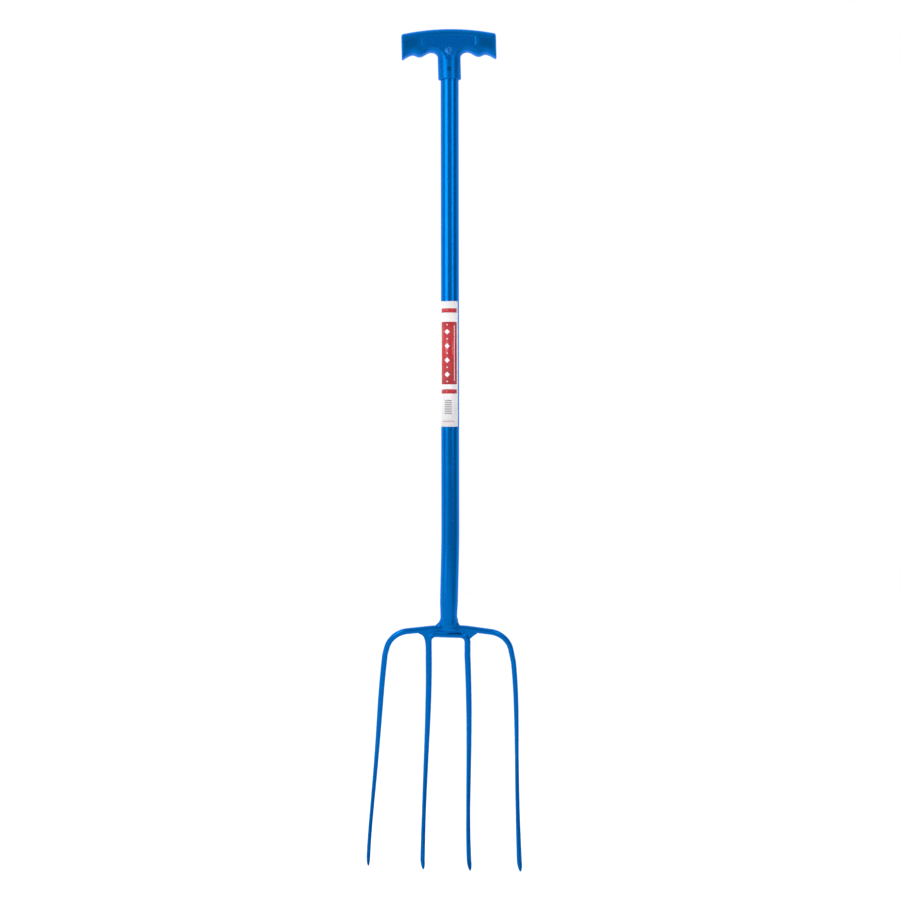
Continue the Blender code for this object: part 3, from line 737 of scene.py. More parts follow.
def spacedRoute(route, spacing):
    filled = [route[0]]
    for first, second in zip(route, route[1:]):
        steps = max(int((Vector(second) - Vector(first)).length / spacing), 1)
        for index in range(1, steps + 1):
            filled.append(tuple(Vector(first).lerp(Vector(second), index / steps)))
    return filled


def flareBend(tine):
    drop = tine["flareDrop"]
    return (tineLine(tine, drop), drop), bars["flareRadius"], bars["flareSteps"]


def bowStations(left, right, bar, bends):
    start = bars["shoulderDrop"]
    bends = (flareBend(left), *bends, flareBend(right))
    corners = [(tineLine(left, start), start)]
    corners += [place for place, _, _ in bends]
    corners += [(tineLine(right, start), start)]
    route = []
    for index, (place, radius, steps) in enumerate(bends):
        route += roundCorner(corners[index], place, corners[index + 2], radius, steps)
    route = spacedRoute(route, bars["routeSpacing"])
    stations = list(reversed(tineRun(left, bar)))
    for across, drop in route:
        stations.append((across, drop, *tineSize(left if across < 0 else right, bar, drop), 0.0))
    stations += tineRun(right, bar)
    return stations


def makeBows():
    steps = bars["shoulderSteps"]
    level = upperCrossDrop(0.0)
    outerBends = (
        (cornerPlace(leftOuter, upperCrossDrop), bars["leftShoulderRadius"], steps),
        ((-bars["leftKneePlace"], level), bars["kneeRadius"], bars["kneeSteps"]),
        ((bars["rightKneePlace"], level), bars["kneeRadius"], bars["kneeSteps"]),
        (cornerPlace(rightOuter, upperCrossDrop), bars["rightShoulderRadius"], steps),
    )
    innerBends = [(cornerPlace(tine, lowerCrossDrop), bars["innerBendRadius"],
                   bars["innerBendSteps"]) for tine in (leftInner, rightInner)]
    outer = bowStations(leftOuter, rightOuter, bars["outer"], outerBends)
    inner = bowStations(leftInner, rightInner, bars["inner"], innerBends)
    for name, stations, node in (("outerBow", outer, "outer_bow"),
                                 ("innerBow", inner, "inner_bow")):
        piece = sweepPiece(name, stations, bars["sides"], bars["waver"])
        dress(piece, None, "coated_steel", node)


makeBows()
print("bows made")


# Welds: a core of weld metal with ripples along it, fused into one skin

welds = {
    "rippleSpacing": 0.0019,
    # Length of a ripple and how uneven they are
    "neckRipple": (0.0017, 0.12),
    "seamRipple": (0.0012, 0.22),
    "neckFuse": (0.00034, 4),
    "seamFuse": (0.00028, 3),
    "shoulderFuse": (0.0003, 8),
    "neckRise": 0.0072,
    "neckLeftLeg": 0.0072,
    "neckRightLeg": 0.0045,
    "neckSideRise": 0.0100,
    # Across, height, depth, facing (degrees, left negative), lift, tilt, half sizes
    "neckLumps": (
        (-0.0138, 0.0112, -0.0060, -23, 17, -20, (0.0040, 0.0016, 0.0025)),
        (-0.0072, 0.0150, -0.0098, -21, 12, 10, (0.0017, 0.0010, 0.0019)),
        (0.0086, 0.0164, -0.0104, 18, 17, -28, (0.0032, 0.0014, 0.0019)),
        (0.0122, 0.0112, -0.0030, 40, 0, 0, (0.0022, 0.0030, 0.0040)),
    ),
    # The rippled bead round the neck: start and run in half turns, seen from above
    "beadArc": (-0.20, 1.40),
    "beadRise": 0.0030,
    "beadWave": 0.0010,
    "beadSink": 0.0002,
    "beadHalfWidth": 0.0030,
    "beadHeight": 0.0011,
    "seamWidth": 0.0050,
    "seamDepth": 0.0029,
    "seamCrown": 0.0002,
    "seamOverrun": 0.0050,
    "seamBeadHalf": 0.0019,
    "seamBeadRise": 0.0008,
    "seamBeadLift": 0.0007,
    "openBeadHalf": 0.0006,
    "seamWander": 0.0004,
    # Along its right part the fill lies on the upper bar and leaves a groove: shares of its length
    "openStart": 0.42,
    "openRun": 0.08,
    "openEnd": 0.995,
    "closeRun": 0.05,
    "openNarrowing": 0.0007,
    "openShift": -0.0013,
    # Across, drop and half size
    "seamSpatters": (
        (-0.0245, -0.0004, 0.0007), (-0.0222, 0.0018, 0.0006), (-0.0205, -0.0016, 0.0007),
        (-0.0188, 0.0012, 0.0006), (-0.0172, -0.0010, 0.0005), (0.0042, 0.0022, 0.0007),
        (0.0062, 0.0024, 0.0008), (0.0085, 0.0023, 0.0009), (0.0110, 0.0025, 0.0008),
        (0.0132, 0.0022, 0.0006),
    ),
    "spatterDepth": 0.0040,
    "shoulderThickness": 0.0070,
    "shoulderEdge": 0.0012,
    "shoulderThinning": 0.6,
    "leftLegs": (0.0100, 0.0215),
    "leftHollow": (0.0024, 0.0044),
    "rightLegs": (0.0095, 0.0100),
    "rightHollow": (0.0002, 0.0003),
}


def makeRippleTree():
    tree, given = geometryTree("weldRipples", (
        ("Spacing", "Float", 0.002),
        ("Length", "Float", 0.0016),
        ("Uneven", "Float", 0.25),
        ("Seed", "Int", 1),
        ("Material", "Material", None),
    ))
    line = addNode(tree, "GeometryNodeMeshToCurve", {"Mesh": given["Geometry"]})
    even = addNode(tree, "GeometryNodeResampleCurve",
                   {"Curve": line.outputs[0], "Length": given["Spacing"]}, mode="LENGTH")
    along = tree.nodes.new("GeometryNodeInputTangent").outputs[0]
    turn = addNode(tree, "FunctionNodeAxesToRotation", {
        "Primary Axis": along, "Secondary Axis": attribute(tree, "outward", "FLOAT_VECTOR")},
        primary_axis="X", secondary_axis="Z")
    size = combine(tree, given["Length"], attribute(tree, "halfWidth"), attribute(tree, "rise"))
    chance = addNode(tree, "FunctionNodeRandomValue", {
        2: maths(tree, "SUBTRACT", 1.0, given["Uneven"]),
        3: maths(tree, "ADD", 1.0, given["Uneven"]), "Seed": given["Seed"]})
    ball = addNode(tree, "GeometryNodeMeshUVSphere", {"Segments": 20, "Rings": 12, "Radius": 1.0})
    ripples = addNode(tree, "GeometryNodeInstanceOnPoints", {
        "Points": even.outputs[0], "Instance": ball.outputs[0], "Rotation": turn.outputs[0],
        "Scale": scaled(tree, size, chance.outputs[1])})
    endTree(tree, ripples.outputs[0], given["Material"])
    return tree


# Points of a ripple line: place, outward direction, half width and rise
def rippleMesh(name, points, ripple, seed):
    length, uneven = ripple
    places, outward, halfWidth, rise = zip(*points)
    mesh = pointMesh(name, places, {"outward": outward}, {"halfWidth": halfWidth, "rise": rise})
    return runTree(newObject(name, mesh), rippleTree, {
        "Spacing": welds["rippleSpacing"], "Length": length, "Uneven": uneven, "Seed": seed,
        "Material": steelCoat}, name)


def addBall(data, place, turn, sizes):
    stretch = Matrix.Diagonal((*sizes, 1.0))
    bmesh.ops.create_uvsphere(data, u_segments=20, v_segments=12, radius=1.0,
                              matrix=Matrix.Translation(place) @ turn.to_4x4() @ stretch)


# A flattish lump: place, the way it faces, its tilt and its half sizes
def addLump(data, centre, across, height, depth, facing, lift, tilt, sizes):
    turn = Matrix.Rotation(math.radians(facing), 3, "Z")
    turn = turn @ Matrix.Rotation(math.radians(-lift), 3, "X")
    turn = turn @ Matrix.Rotation(math.radians(tilt), 3, "Y")
    addBall(data, headPoint(centre + across, -height, depth), turn, sizes)


# Fuses closed lumps into one skin, then eases it: grain of the skin and rounds of easing
def fuse(name, data, extras, skin, node):
    voxel, smoothing = skin
    for extra in extras:
        data.from_mesh(extra.data)
        bpy.data.objects.remove(extra)
    item = solidFrom(name, data)
    remesh = item.modifiers.new("fuse", "REMESH")
    remesh.mode = "VOXEL"
    remesh.voxel_size = voxel
    ease = item.modifiers.new("ease", "SMOOTH")
    ease.factor = 0.5
    ease.iterations = smoothing
    piece = settle(item, name)
    return dress(piece, steelCoat, "coated_steel", node)


rippleTree = makeRippleTree()


# A wing widens the ring at its side; flare eases its sides into what it lies on
def neckRing(centre, height, wide, deep, leftWing, rightWing, flare=0.0, sides=72):
    ring = []
    wingStart = 0.83
    for step in range(sides):
        angle = 2 * math.pi * step / sides
        wing = rightWing if math.cos(angle) > 0 else leftWing
        share = max(abs(math.cos(angle)) - wingStart, 0.0) / (1.0 - wingStart)
        across = (wide + wing * share ** 1.5) * math.cos(angle)
        depth = deep * math.copysign(abs(math.sin(angle)) ** (1.0 + flare), math.sin(angle))
        ring.append(headPoint(centre + across, -height, depth))
    return ring


def makeNeckWeld():
    barMiddle = -upperCrossDrop(0.0)
    barTop = barMiddle + bars["outer"] / 2
    radius = tube["footDiameter"] / 2
    centre = tubeLean(footDrop())
    left = welds["neckLeftLeg"]
    right = welds["neckRightLeg"]
    frontTop = barTop + welds["neckRise"]
    inside = radius - 0.0006
    # Height, half width, half depth, reach of the left and right wings, flare
    steps = (
        (barTop + welds["neckSideRise"] + 0.003, inside, inside, 0.0, 0.0008),
        (barTop + welds["neckSideRise"], inside, inside, left * 0.12, right * 0.34),
        (frontTop, inside, inside, left * 0.26, right * 0.46),
        (frontTop - 0.0006, inside, radius, left * 0.30, right * 0.47),
        (frontTop - 0.0018, inside, radius + 0.0005, left * 0.38, right * 0.49),
        (frontTop - 0.0030, inside, radius + 0.0005, left * 0.46, right * 0.52),
        (barTop + 0.0022, inside, radius + 0.0004, left * 0.80, right * 0.64),
        (barTop - 0.0001, inside + 0.0008, radius, left, right, 0.05),
        (barTop - 0.0016, 0.0148, radius - 0.0003, left * 0.4, right * 0.1),
        (barTop - 0.0032, 0.0158, radius - 0.0010, 0.0, 0.0),
        (barMiddle - 0.0004, 0.0160, 0.0096, 0.0, 0.0, 0.1),
        (barMiddle - 0.0020, 0.0155, 0.0070, 0.0, 0.0, 0.3),
        (0.0003, 0.0146, 0.0048, 0.0, 0.0, 0.6),
        (-0.0018, 0.0112, 0.0028, 0.0, 0.0, 0.6),
    )
    data = loftRings([neckRing(centre, *step) for step in steps])
    # The bead runs round the sides and the back; the front is smooth
    points = []
    turns = 72
    start, run = welds["beadArc"]
    reach = radius - welds["beadSink"]
    for index in range(turns + 1):
        angle = math.pi * (start + run * index / turns)
        drop = -(barTop + welds["beadRise"] + welds["beadWave"] * math.sin(3 * angle + 0.8))
        side = Vector((math.cos(angle), 0.0, 0.0)) + curveBack(drop) * math.sin(angle)
        place = headPoint(centre + reach * math.cos(angle), drop, reach * math.sin(angle))
        points.append((place, side, welds["beadHalfWidth"], welds["beadHeight"]))
    ripples = rippleMesh("neckRipples", points, welds["neckRipple"], 4)
    for lump in welds["neckLumps"]:
        addLump(data, centre, *lump)
    fuse("neckWeld", data, [ripples], welds["neckFuse"], "neck_weld")


def seamDrop(across):
    upper = upperCrossDrop(across) + bars["outer"] / 2
    lower = lowerCrossDrop(across) - bars["inner"] / 2
    return (upper + lower) / 2


def bendStart(tine):
    across, _ = cornerPlace(tine, lowerCrossDrop)
    side = -1 if tine["across"][0] < 0 else 1
    return across - side * bars["innerBendRadius"]


def makeSeamWeld(name, side, node, seed):
    leftEnd = bendStart(leftInner)
    rightEnd = bendStart(rightInner) + welds["seamOverrun"]
    middle = bars["outer"] / 2 + welds["seamCrown"] - welds["seamDepth"] / 2
    random = np.random.default_rng(seed)
    steps = 60
    wander = np.cumsum(random.normal(0.0, 1.0, steps + 1))
    wander -= np.linspace(wander[0], wander[-1], steps + 1)
    wander /= max(abs(wander).max(), 1e-6)
    rings = []
    points = []
    for index in range(steps + 1):
        share = index / steps
        across = leftEnd + (rightEnd - leftEnd) * share
        opened = smooth((share - welds["openStart"]) / welds["openRun"])
        opened *= smooth((welds["openEnd"] - share) / welds["closeRun"])
        half = welds["seamWidth"] / 2 - welds["openNarrowing"] * opened
        # Thinner towards both ends
        swell = math.sqrt(max(1 - (2 * share - 1) ** 6, 0.4))
        wandered = welds["seamWander"] * (1 + opened) * float(wander[index])
        drop = seamDrop(across) + wandered + welds["openShift"] * opened
        # A section with blunt corners
        ring = []
        sides = 28
        for step in range(sides):
            angle = 2 * math.pi * step / sides
            reach = math.copysign(abs(math.sin(angle)) ** 0.55, math.sin(angle))
            spanned = math.copysign(abs(math.cos(angle)) ** 0.75, math.cos(angle))
            ring.append(headPoint(across, drop + half * spanned,
                                  side * (middle + welds["seamDepth"] / 2 * swell * reach)))
        rings.append(ring)
        points.append((headPoint(across, drop, side * (middle + welds["seamBeadLift"])),
                       curveBack(drop) * side,
                       welds["seamBeadHalf"] - welds["openBeadHalf"] * opened,
                       welds["seamBeadRise"]))
    data = loftRings(rings)
    ripples = rippleMesh(name + "Ripples", points, welds["seamRipple"], seed)
    # Spatters at the left end, and a short run of small drops on the lower bar
    for across, drop, size in welds["seamSpatters"]:
        place = headPoint(across, drop, side * welds["spatterDepth"])
        addBall(data, place, Matrix.Identity(3), (size * 1.3, size, size))
    fuse(name, data, [ripples], welds["seamFuse"], node)


def makeShoulderWeld(name, tine, legs, hollow, node):
    side = -1 if tine["across"][0] < 0 else 1
    bendAcross, bendDrop = cornerPlace(tine, lowerCrossDrop)
    barHalf = bars["inner"] / 2
    cornerAcross = bendAcross + side * barHalf
    cornerDrop = upperCrossDrop(cornerAcross) + bars["outer"] / 2
    outLeg, downLeg = legs
    outAcross = cornerAcross + side * outLeg
    outDrop = upperCrossDrop(outAcross) + bars["outer"] / 2
    downDrop = cornerDrop + downLeg
    # From inside the upper bar along the hollow face, down the tine, and back through the bars
    outline = [(outAcross, outDrop - bars["outer"] * 0.40), (outAcross, outDrop)]
    steps = 10
    for index in range(1, steps):
        share = index / steps
        sag = 4 * share * (1 - share)
        outline.append((outAcross - side * (outLeg * share + hollow[0] * sag),
                        outDrop + (downDrop - outDrop) * share - hollow[1] * sag))
    outline.append((cornerAcross, downDrop))
    outline.append((cornerAcross - side * barHalf, downDrop))
    outline.append((cornerAcross - side * barHalf * 1.2, cornerDrop + downLeg * 0.4))
    outline.append((bendStart(tine), bendDrop))
    outline.append((bendStart(tine), upperCrossDrop(bendStart(tine))))
    outline.append((cornerAcross, upperCrossDrop(cornerAcross)))
    half = welds["shoulderThickness"] / 2
    edge = welds["shoulderEdge"]
    middle = Vector((sum(point[0] for point in outline), sum(point[1] for point in outline)))
    middle /= len(outline)
    rings = []
    for depth, inset in ((-half, edge), (-half + edge, 0.0), (half - edge, 0.0), (half, edge)):
        ring = []
        for across, drop in outline:
            inward = (middle - Vector((across, drop))).normalized() * inset
            thin = 1.0 - welds["shoulderThinning"] * smooth((drop - cornerDrop) / downLeg)
            ring.append(headPoint(across + inward.x, drop + inward.y, depth * thin))
        rings.append(ring)
    fuse(name, loftRings(rings), [], welds["shoulderFuse"], node)


makeNeckWeld()
makeSeamWeld("seamWeldFront", -1, "seam_weld_front", 11)
makeSeamWeld("seamWeldBack", 1, "seam_weld_back", 23)
makeShoulderWeld("shoulderWeldLeft", leftInner, welds["leftLegs"], welds["leftHollow"],
                 "shoulder_weld_left")
makeShoulderWeld("shoulderWeldRight", rightInner, welds["rightLegs"], welds["rightHollow"],
                 "shoulder_weld_right")
print("welds made")


# T grip. Its own frame has its origin at the middle of the socket's mouth.

grip = {
    "length": 0.1337,
    "height": 0.0707,
    "thickness": 0.0326,
    "crownDrop": 0.0069,
    "crownBand": 0.009,
    "underBand": 0.0085,
    "innerGroovePlace": 0.0255,
    "innerGrooveHeight": 0.0386,
    "ridgePlace": 0.0420,
    "ridgeHeight": 0.0324,
    "outerGroovePlace": 0.0515,
    "outerGrooveHeight": 0.0352,
    "endHeight": 0.0272,
    "cornerRound": (0.0028, 0.0028),
    "lowerCornerRound": (0.0026, 0.0034),
    "barTilt": 0.0139,
    "lean": math.radians(-1.30),
    "socketDiameter": 0.0322,
    "socketFillet": 0.0085,
    "socketLip": 0.0008,
    "endRound": 0.0030,
    "underPower": 2.0,
    "underPowerRise": 0.8,
    "crownPower": 2.8,
    "endPower": 3.2,
    "socketEaseLow": 0.0230,
    "socketEaseTall": 0.0240,
    "socketEaseWide": 0.0095,
    "tubeClearance": 0.0003,
    "mouthDepth": 0.008,
    "padEdge": 0.0007,
    "padDepth": 0.01545,
    "veeDepth": 0.01435,
    "padHalfLength": 0.0378,
    "padTop": 0.0095,
    "padFoot": 0.0455,
    "veeFoot": 0.0272,
    "veeEdge": 0.0009,
    "veeLow": 0.0280,
    "veeTall": 0.0153,
    "veeHalfLow": 0.0042,
    "veeSpread": 0.0103,
    "veePower": 1.8,
    "studAcross": 0.0042,
    "studDown": 0.0028,
    "studHeight": 0.00065,
    "studFirst": 0.0290,
    "studReach": 0.040,
    "studEdge": 0.0014,
    "studEndEdge": 0.0022,
    # Where the studs lean: across, height and reach, then how far, and the spread of chance
    "studTurn": (-0.0008, 0.0375, 0.0056),
    "studLean": (-0.15, -0.42),
    "studChance": (0.25, 1.25),
    "ribPlace": 0.0385,
    "ribWidth": 0.0024,
    "ribHeight": 0.0008,
    "ribEdge": 0.0008,
    "ribEnds": 0.0012,
    "ribLow": 0.0490,
    "ribHigh": 0.0556,
    "recessPlace": 0.0520,
    "recessHeight": 0.0545,
    "recessHalf": (0.0150, 0.0088),
    "recessEase": 0.60,
    "recessDepth": 0.0005,
    "socketColumns": 44,
    "filletColumns": 16,
    "armColumns": 89,
    "rows": 92,
    "lipRows": 5,
    "socketRows": 78,
}

screw = {
    "height": 0.0135,
    "headDiameter": 0.0062,
    "headHeight": 0.0016,
    "shankDiameter": 0.0034,
    "length": 0.0095,
    "sink": 0.0006,
    "seatDepth": 0.0005,
    "seatPlay": 0.0002,
    "seatEdge": 0.0003,
    "crossTurn": 0.35,
    "crossLength": 0.0036,
    "crossWidth": 0.0012,
    "crossDepth": 0.0013,
}

gripFrame = Matrix.Translation(mouth) @ Matrix.Rotation(grip["lean"], 4, "Y")
gripTurn = gripFrame.to_3x3()


# The bar of the T is a little out of square with its socket, and its corners are rounded
def cornerInset(x, corners):
    left, right = corners
    corner = np.where(x < 0, left, right)
    inside = np.clip(np.abs(x) - (grip["length"] / 2 - corner), 0.0, corner * 0.98)
    return corner - np.sqrt(corner * corner - inside * inside)


def crownHeight(x):
    half = grip["length"] / 2
    drop = grip["crownDrop"]
    radius = (half * half + drop * drop) / (2 * drop)
    level = grip["height"] - radius + np.sqrt(radius * radius - x * x)
    return level - x * grip["barTilt"] - cornerInset(x, grip["cornerRound"])


def levelUnderHeight(x):
    x = abs(x)
    groove = grip["innerGroovePlace"]
    if x < groove:
        reach = groove - grip["socketDiameter"] / 2
        share = min((groove - x) / reach, 1.0)
        return grip["innerGrooveHeight"] - grip["socketFillet"] * (1 - math.sqrt(1 - share * share))
    points = (
        (groove, grip["innerGrooveHeight"]),
        (grip["ridgePlace"], grip["ridgeHeight"]),
        (grip["outerGroovePlace"], grip["outerGrooveHeight"]),
        (grip["length"] / 2, grip["endHeight"]),
    )
    for (low, first), (high, second) in zip(points, points[1:]):
        if x <= high:
            share = (x - low) / (high - low)
            if second == grip["endHeight"]:
                return first + (second - first) * share ** 1.5
            return first + (second - first) * (1 - math.cos(share * math.pi)) / 2
    return grip["endHeight"]


levelUnderHeights = np.vectorize(levelUnderHeight)


def underHeights(x):
    return levelUnderHeights(x) - x * grip["barTilt"] + cornerInset(x, grip["lowerCornerRound"])


# Distance inside the lower outline: the socket's sides, its fillets and the finger grooves
def underDistance(x, z):
    z = z + x * grip["barTilt"] - cornerInset(x, grip["lowerCornerRound"])
    x = np.abs(x)
    socket = grip["socketDiameter"] / 2
    groove = grip["innerGroovePlace"]
    wide = groove - socket
    tall = grip["socketFillet"]
    low = grip["innerGrooveHeight"] - tall
    across = (groove - x) / wide
    up = (z - low) / tall
    above = np.maximum(up, 0.0)
    least = 1e-6
    length = np.sqrt(across ** 2 + above ** 2)
    slope = np.sqrt((across / wide) ** 2 + (above / tall) ** 2) / np.maximum(length, least)
    arc = (length - 1.0) / np.maximum(slope, least)
    step = 0.0004
    fall = levelUnderHeights(x + step) - levelUnderHeights(np.maximum(x - step, groove))
    flat = (z - levelUnderHeights(x)) / np.sqrt(1 + (fall / (2 * step)) ** 2)
    return np.where(x < groove, np.where(up < 0, socket - x, arc), flat)


# A rounded edge: 0 at the outline, 1 from the band inwards
def edgeProfile(distance, band, power):
    share = np.clip(distance / band, 0.0, 1.0)
    return np.maximum(1.0 - (1.0 - share) ** power, 0.0) ** (1.0 / power)


# Half width of the vee at a height
def veeHalf(z):
    rise = np.clip((z - grip["veeLow"]) / grip["veeTall"], 0.0, None)
    return grip["veeHalfLow"] + grip["veeSpread"] * rise ** grip["veePower"]


# The sunk pad is flat along the bar and falls back down the vee
def padLevel(z):
    rise = np.clip((z - grip["veeFoot"]) / (grip["padFoot"] - grip["veeFoot"]), 0.0, 1.0)
    return grip["veeDepth"] + (grip["padDepth"] - grip["veeDepth"]) * rise


# Thumb recesses at the ends: 1 inside, easing to 0 at their edges
def recessShare(x, z):
    wide, tall = grip["recessHalf"]
    droop = crownHeight(x) - grip["height"]
    away = (((np.abs(x) - grip["recessPlace"]) / wide) ** 4
            + ((z - droop - grip["recessHeight"]) / tall) ** 4) ** 0.25
    return smooth((1.0 - away) / grip["recessEase"])


# Half thickness of the grip over its outline, with its pads, webs and hollows
def gripDepth(x, z, front):
    socket = grip["socketDiameter"] / 2
    half = grip["length"] / 2
    upward = smooth((z - grip["socketEaseLow"]) / grip["socketEaseTall"])
    outward = smooth((np.abs(x) - socket) / grip["socketEaseWide"])
    blend = 1.0 - (1.0 - upward) * (1.0 - outward)
    band = socket + (grip["underBand"] - socket) * blend
    full = socket + (grip["thickness"] / 2 - socket) * blend
    power = grip["underPower"] + grip["underPowerRise"] * blend
    depth = full * edgeProfile(underDistance(x, z), band, power)
    crown = crownHeight(x)
    depth = depth * edgeProfile(crown - z, grip["crownBand"], grip["crownPower"])
    depth = depth * edgeProfile(half - np.abs(x), grip["endRound"], grip["endPower"])
    # Sunk pad, with its vee between the webs
    padEdge = grip["padEdge"]
    vee = smooth((veeHalf(z) - np.abs(x)) / padEdge)
    vee *= smooth((z - grip["veeFoot"]) / grip["veeEdge"])
    pad = smooth((grip["padHalfLength"] - np.abs(x)) / padEdge)
    pad *= smooth((z - grip["padFoot"]) / padEdge)
    inside = np.maximum(vee, pad) * smooth((crown - grip["padTop"] - z) / padEdge)
    depth = np.where(inside > 0, np.minimum(depth, depth + (padLevel(z) - depth) * inside), depth)
    depth = depth - grip["recessDepth"] * recessShare(x, z)
    # Raised rib at one end of the pad
    ends = grip["ribEnds"]
    rib = smooth((grip["ribWidth"] / 2 - np.abs(x - grip["ribPlace"])) / grip["ribEdge"])
    rib *= smooth((z - grip["ribLow"]) / ends) * smooth((grip["ribHigh"] - z) / ends)
    depth = depth + grip["ribHeight"] * rib
    if front:
        far = np.sqrt(x ** 2 + (z - screw["height"]) ** 2)
        seat = socket - screw["sink"] - screw["seatDepth"]
        bore = smooth((screw["headDiameter"] / 2 + screw["seatPlay"] - far) / screw["seatEdge"])
        depth = depth + (np.minimum(depth, seat) - depth) * bore
    return np.maximum(depth, 0.0)


# Places across, closer together where the outline turns
def gripColumns():
    socket = grip["socketDiameter"] / 2
    groove = grip["innerGroovePlace"]
    half = grip["length"] / 2
    inner = socket * np.sin(np.linspace(0.0, math.pi / 2, grip["socketColumns"]))
    quarter = np.linspace(0.0, math.pi / 2, grip["filletColumns"] + 1)[1:]
    flare = socket + (groove - socket) * (1 - np.cos(quarter))
    quarter = np.linspace(0.0, math.pi / 2, grip["armColumns"] + 1)[1:]
    outer = groove + (half - groove) * np.sin(quarter)
    right = np.concatenate([inner, flare, outer])
    return np.concatenate([-right[:0:-1], right]), len(inner)


def gripSheet(data, front):
    columns, innerCount = gripColumns()
    side = -1.0 if front else 1.0
    socket = grip["socketDiameter"] / 2
    filletLow = grip["innerGrooveHeight"] - grip["socketFillet"]
    rows = (1 - np.cos(np.linspace(0.0, math.pi, grip["rows"]))) / 2
    low = np.where(np.abs(columns) <= socket + 1e-7, filletLow, underHeights(columns))
    high = crownHeight(columns)
    z = low[:, None] + (high - low)[:, None] * rows[None, :]
    x = np.repeat(columns[:, None], len(rows), axis=1)
    depth = gripDepth(x, z, front)
    edge = np.zeros_like(depth, bool)
    edge[:, -1] = True
    edge[0, :] = True
    edge[-1, :] = True
    edge[np.abs(columns) >= socket - 1e-7, 0] = True
    depth[edge] = 0.0
    grid = [[data.verts.new((x[i, j], side * depth[i, j], z[i, j])) for j in range(len(rows))]
            for i in range(len(columns))]
    for i in range(len(columns) - 1):
        for j in range(len(rows) - 1):
            data.faces.new((grid[i][j], grid[i + 1][j], grid[i + 1][j + 1], grid[i][j + 1]))
    # Socket below the fillets
    middle = len(columns) // 2
    first = middle - innerCount + 1
    last = middle + innerCount - 1
    lip = grip["socketLip"]
    heights = np.concatenate([np.linspace(0.0, 1.0, grip["lipRows"] + 1)[:-1] ** 1.5 * lip,
                              np.linspace(lip, filletLow, grip["socketRows"])])
    below = []
    for height in heights[:-1]:
        share = max(1.0 - height / lip, 0.0)
        shrink = 1.0 - lip * (1 - math.sqrt(1 - share * share)) / socket
        line = []
        for i in range(first, last + 1):
            across = np.array([columns[i]])
            depthHere = gripDepth(across, np.array([max(height, lip)]), front)[0]
            if i in (first, last):
                depthHere = 0.0
            line.append(data.verts.new((columns[i] * shrink, side * depthHere * shrink, height)))
        below.append(line)
    below.append([grid[i][0] for i in range(first, last + 1)])
    for lower, upper in zip(below, below[1:]):
        for i in range(len(lower) - 1):
            data.faces.new((lower[i], lower[i + 1], upper[i + 1], upper[i]))


def makeGrip():
    data = bmesh.new()
    gripSheet(data, True)
    gripSheet(data, False)
    bmesh.ops.remove_doubles(data, verts=data.verts, dist=1e-6)
    # Mouth: the end face and the wall round the tube, closed inside
    rim = [vertex for vertex in data.verts if vertex.is_boundary]
    loops = [sorted(rim, key=lambda vertex: math.atan2(vertex.co.y, vertex.co.x))]
    radius = tube["diameter"] / 2 + grip["tubeClearance"]
    for height in (0.0, grip["mouthDepth"]):
        loop = []
        for vertex in loops[-1]:
            flat = Vector((vertex.co.x, vertex.co.y, 0.0)).normalized() * radius
            loop.append(data.verts.new((flat.x, flat.y, height)))
        loops.append(loop)
    joinLoops(data, loops)
    data.faces.new(loops[-1])
    item = solidFrom("gripBody", data)
    places = np.empty(len(item.data.vertices) * 3, np.float32)
    item.data.vertices.foreach_get("co", places)
    places = places.reshape(-1, 3).astype(float)
    within = np.clip(places[:, 0], -grip["length"] / 2, grip["length"] / 2)
    # Stores the thumb recess mask, where the plastic gets its painted shade
    layer = item.data.attributes.new("recessShade", "FLOAT", "POINT")
    layer.data.foreach_set("value", recessShare(within, places[:, 2]).astype(np.float32))
    item.data.transform(gripFrame)
    return dress(item, gripPlastic, "grip_plastic", "grip")


def makeStudTree():
    tree, given = geometryTree("gripStuds", (
        ("Across", "Float", 0.0042),
        ("Down", "Float", 0.0028),
        ("Height", "Float", 0.0005),
        ("Sink", "Float", 0.0003),
        ("Uneven", "Float", 0.06),
        ("Seed", "Int", 3),
        ("Material", "Material", None),
    ))
    tall = maths(tree, "ADD", given["Height"], given["Sink"])
    stud = addNode(tree, "GeometryNodeMeshCone", {
        "Vertices": 4, "Side Segments": 1, "Fill Segments": 1,
        "Radius Top": 0.10, "Radius Bottom": 0.62, "Depth": tall})
    settled = addNode(tree, "GeometryNodeTransform", {
        "Geometry": stud.outputs[0], "Scale": combine(tree, given["Across"], given["Down"], 1.0),
        "Translation": combine(tree, z=negative(tree, given["Sink"]))})
    turn = addNode(tree, "FunctionNodeAxesToRotation", {
        "Primary Axis": attribute(tree, "outward", "FLOAT_VECTOR"),
        "Secondary Axis": attribute(tree, "across", "FLOAT_VECTOR")},
        primary_axis="Z", secondary_axis="X")
    chance = addNode(tree, "FunctionNodeRandomValue", {
        2: maths(tree, "SUBTRACT", 1.0, given["Uneven"]), 3: 1.0, "Seed": given["Seed"]})
    studs = addNode(tree, "GeometryNodeInstanceOnPoints", {
        "Points": given["Geometry"], "Instance": settled.outputs[0], "Rotation": turn.outputs[0],
        "Scale": combine(tree, 1.0, 1.0, chance.outputs[1])})
    endTree(tree, studs.outputs[0], given["Material"])
    return tree


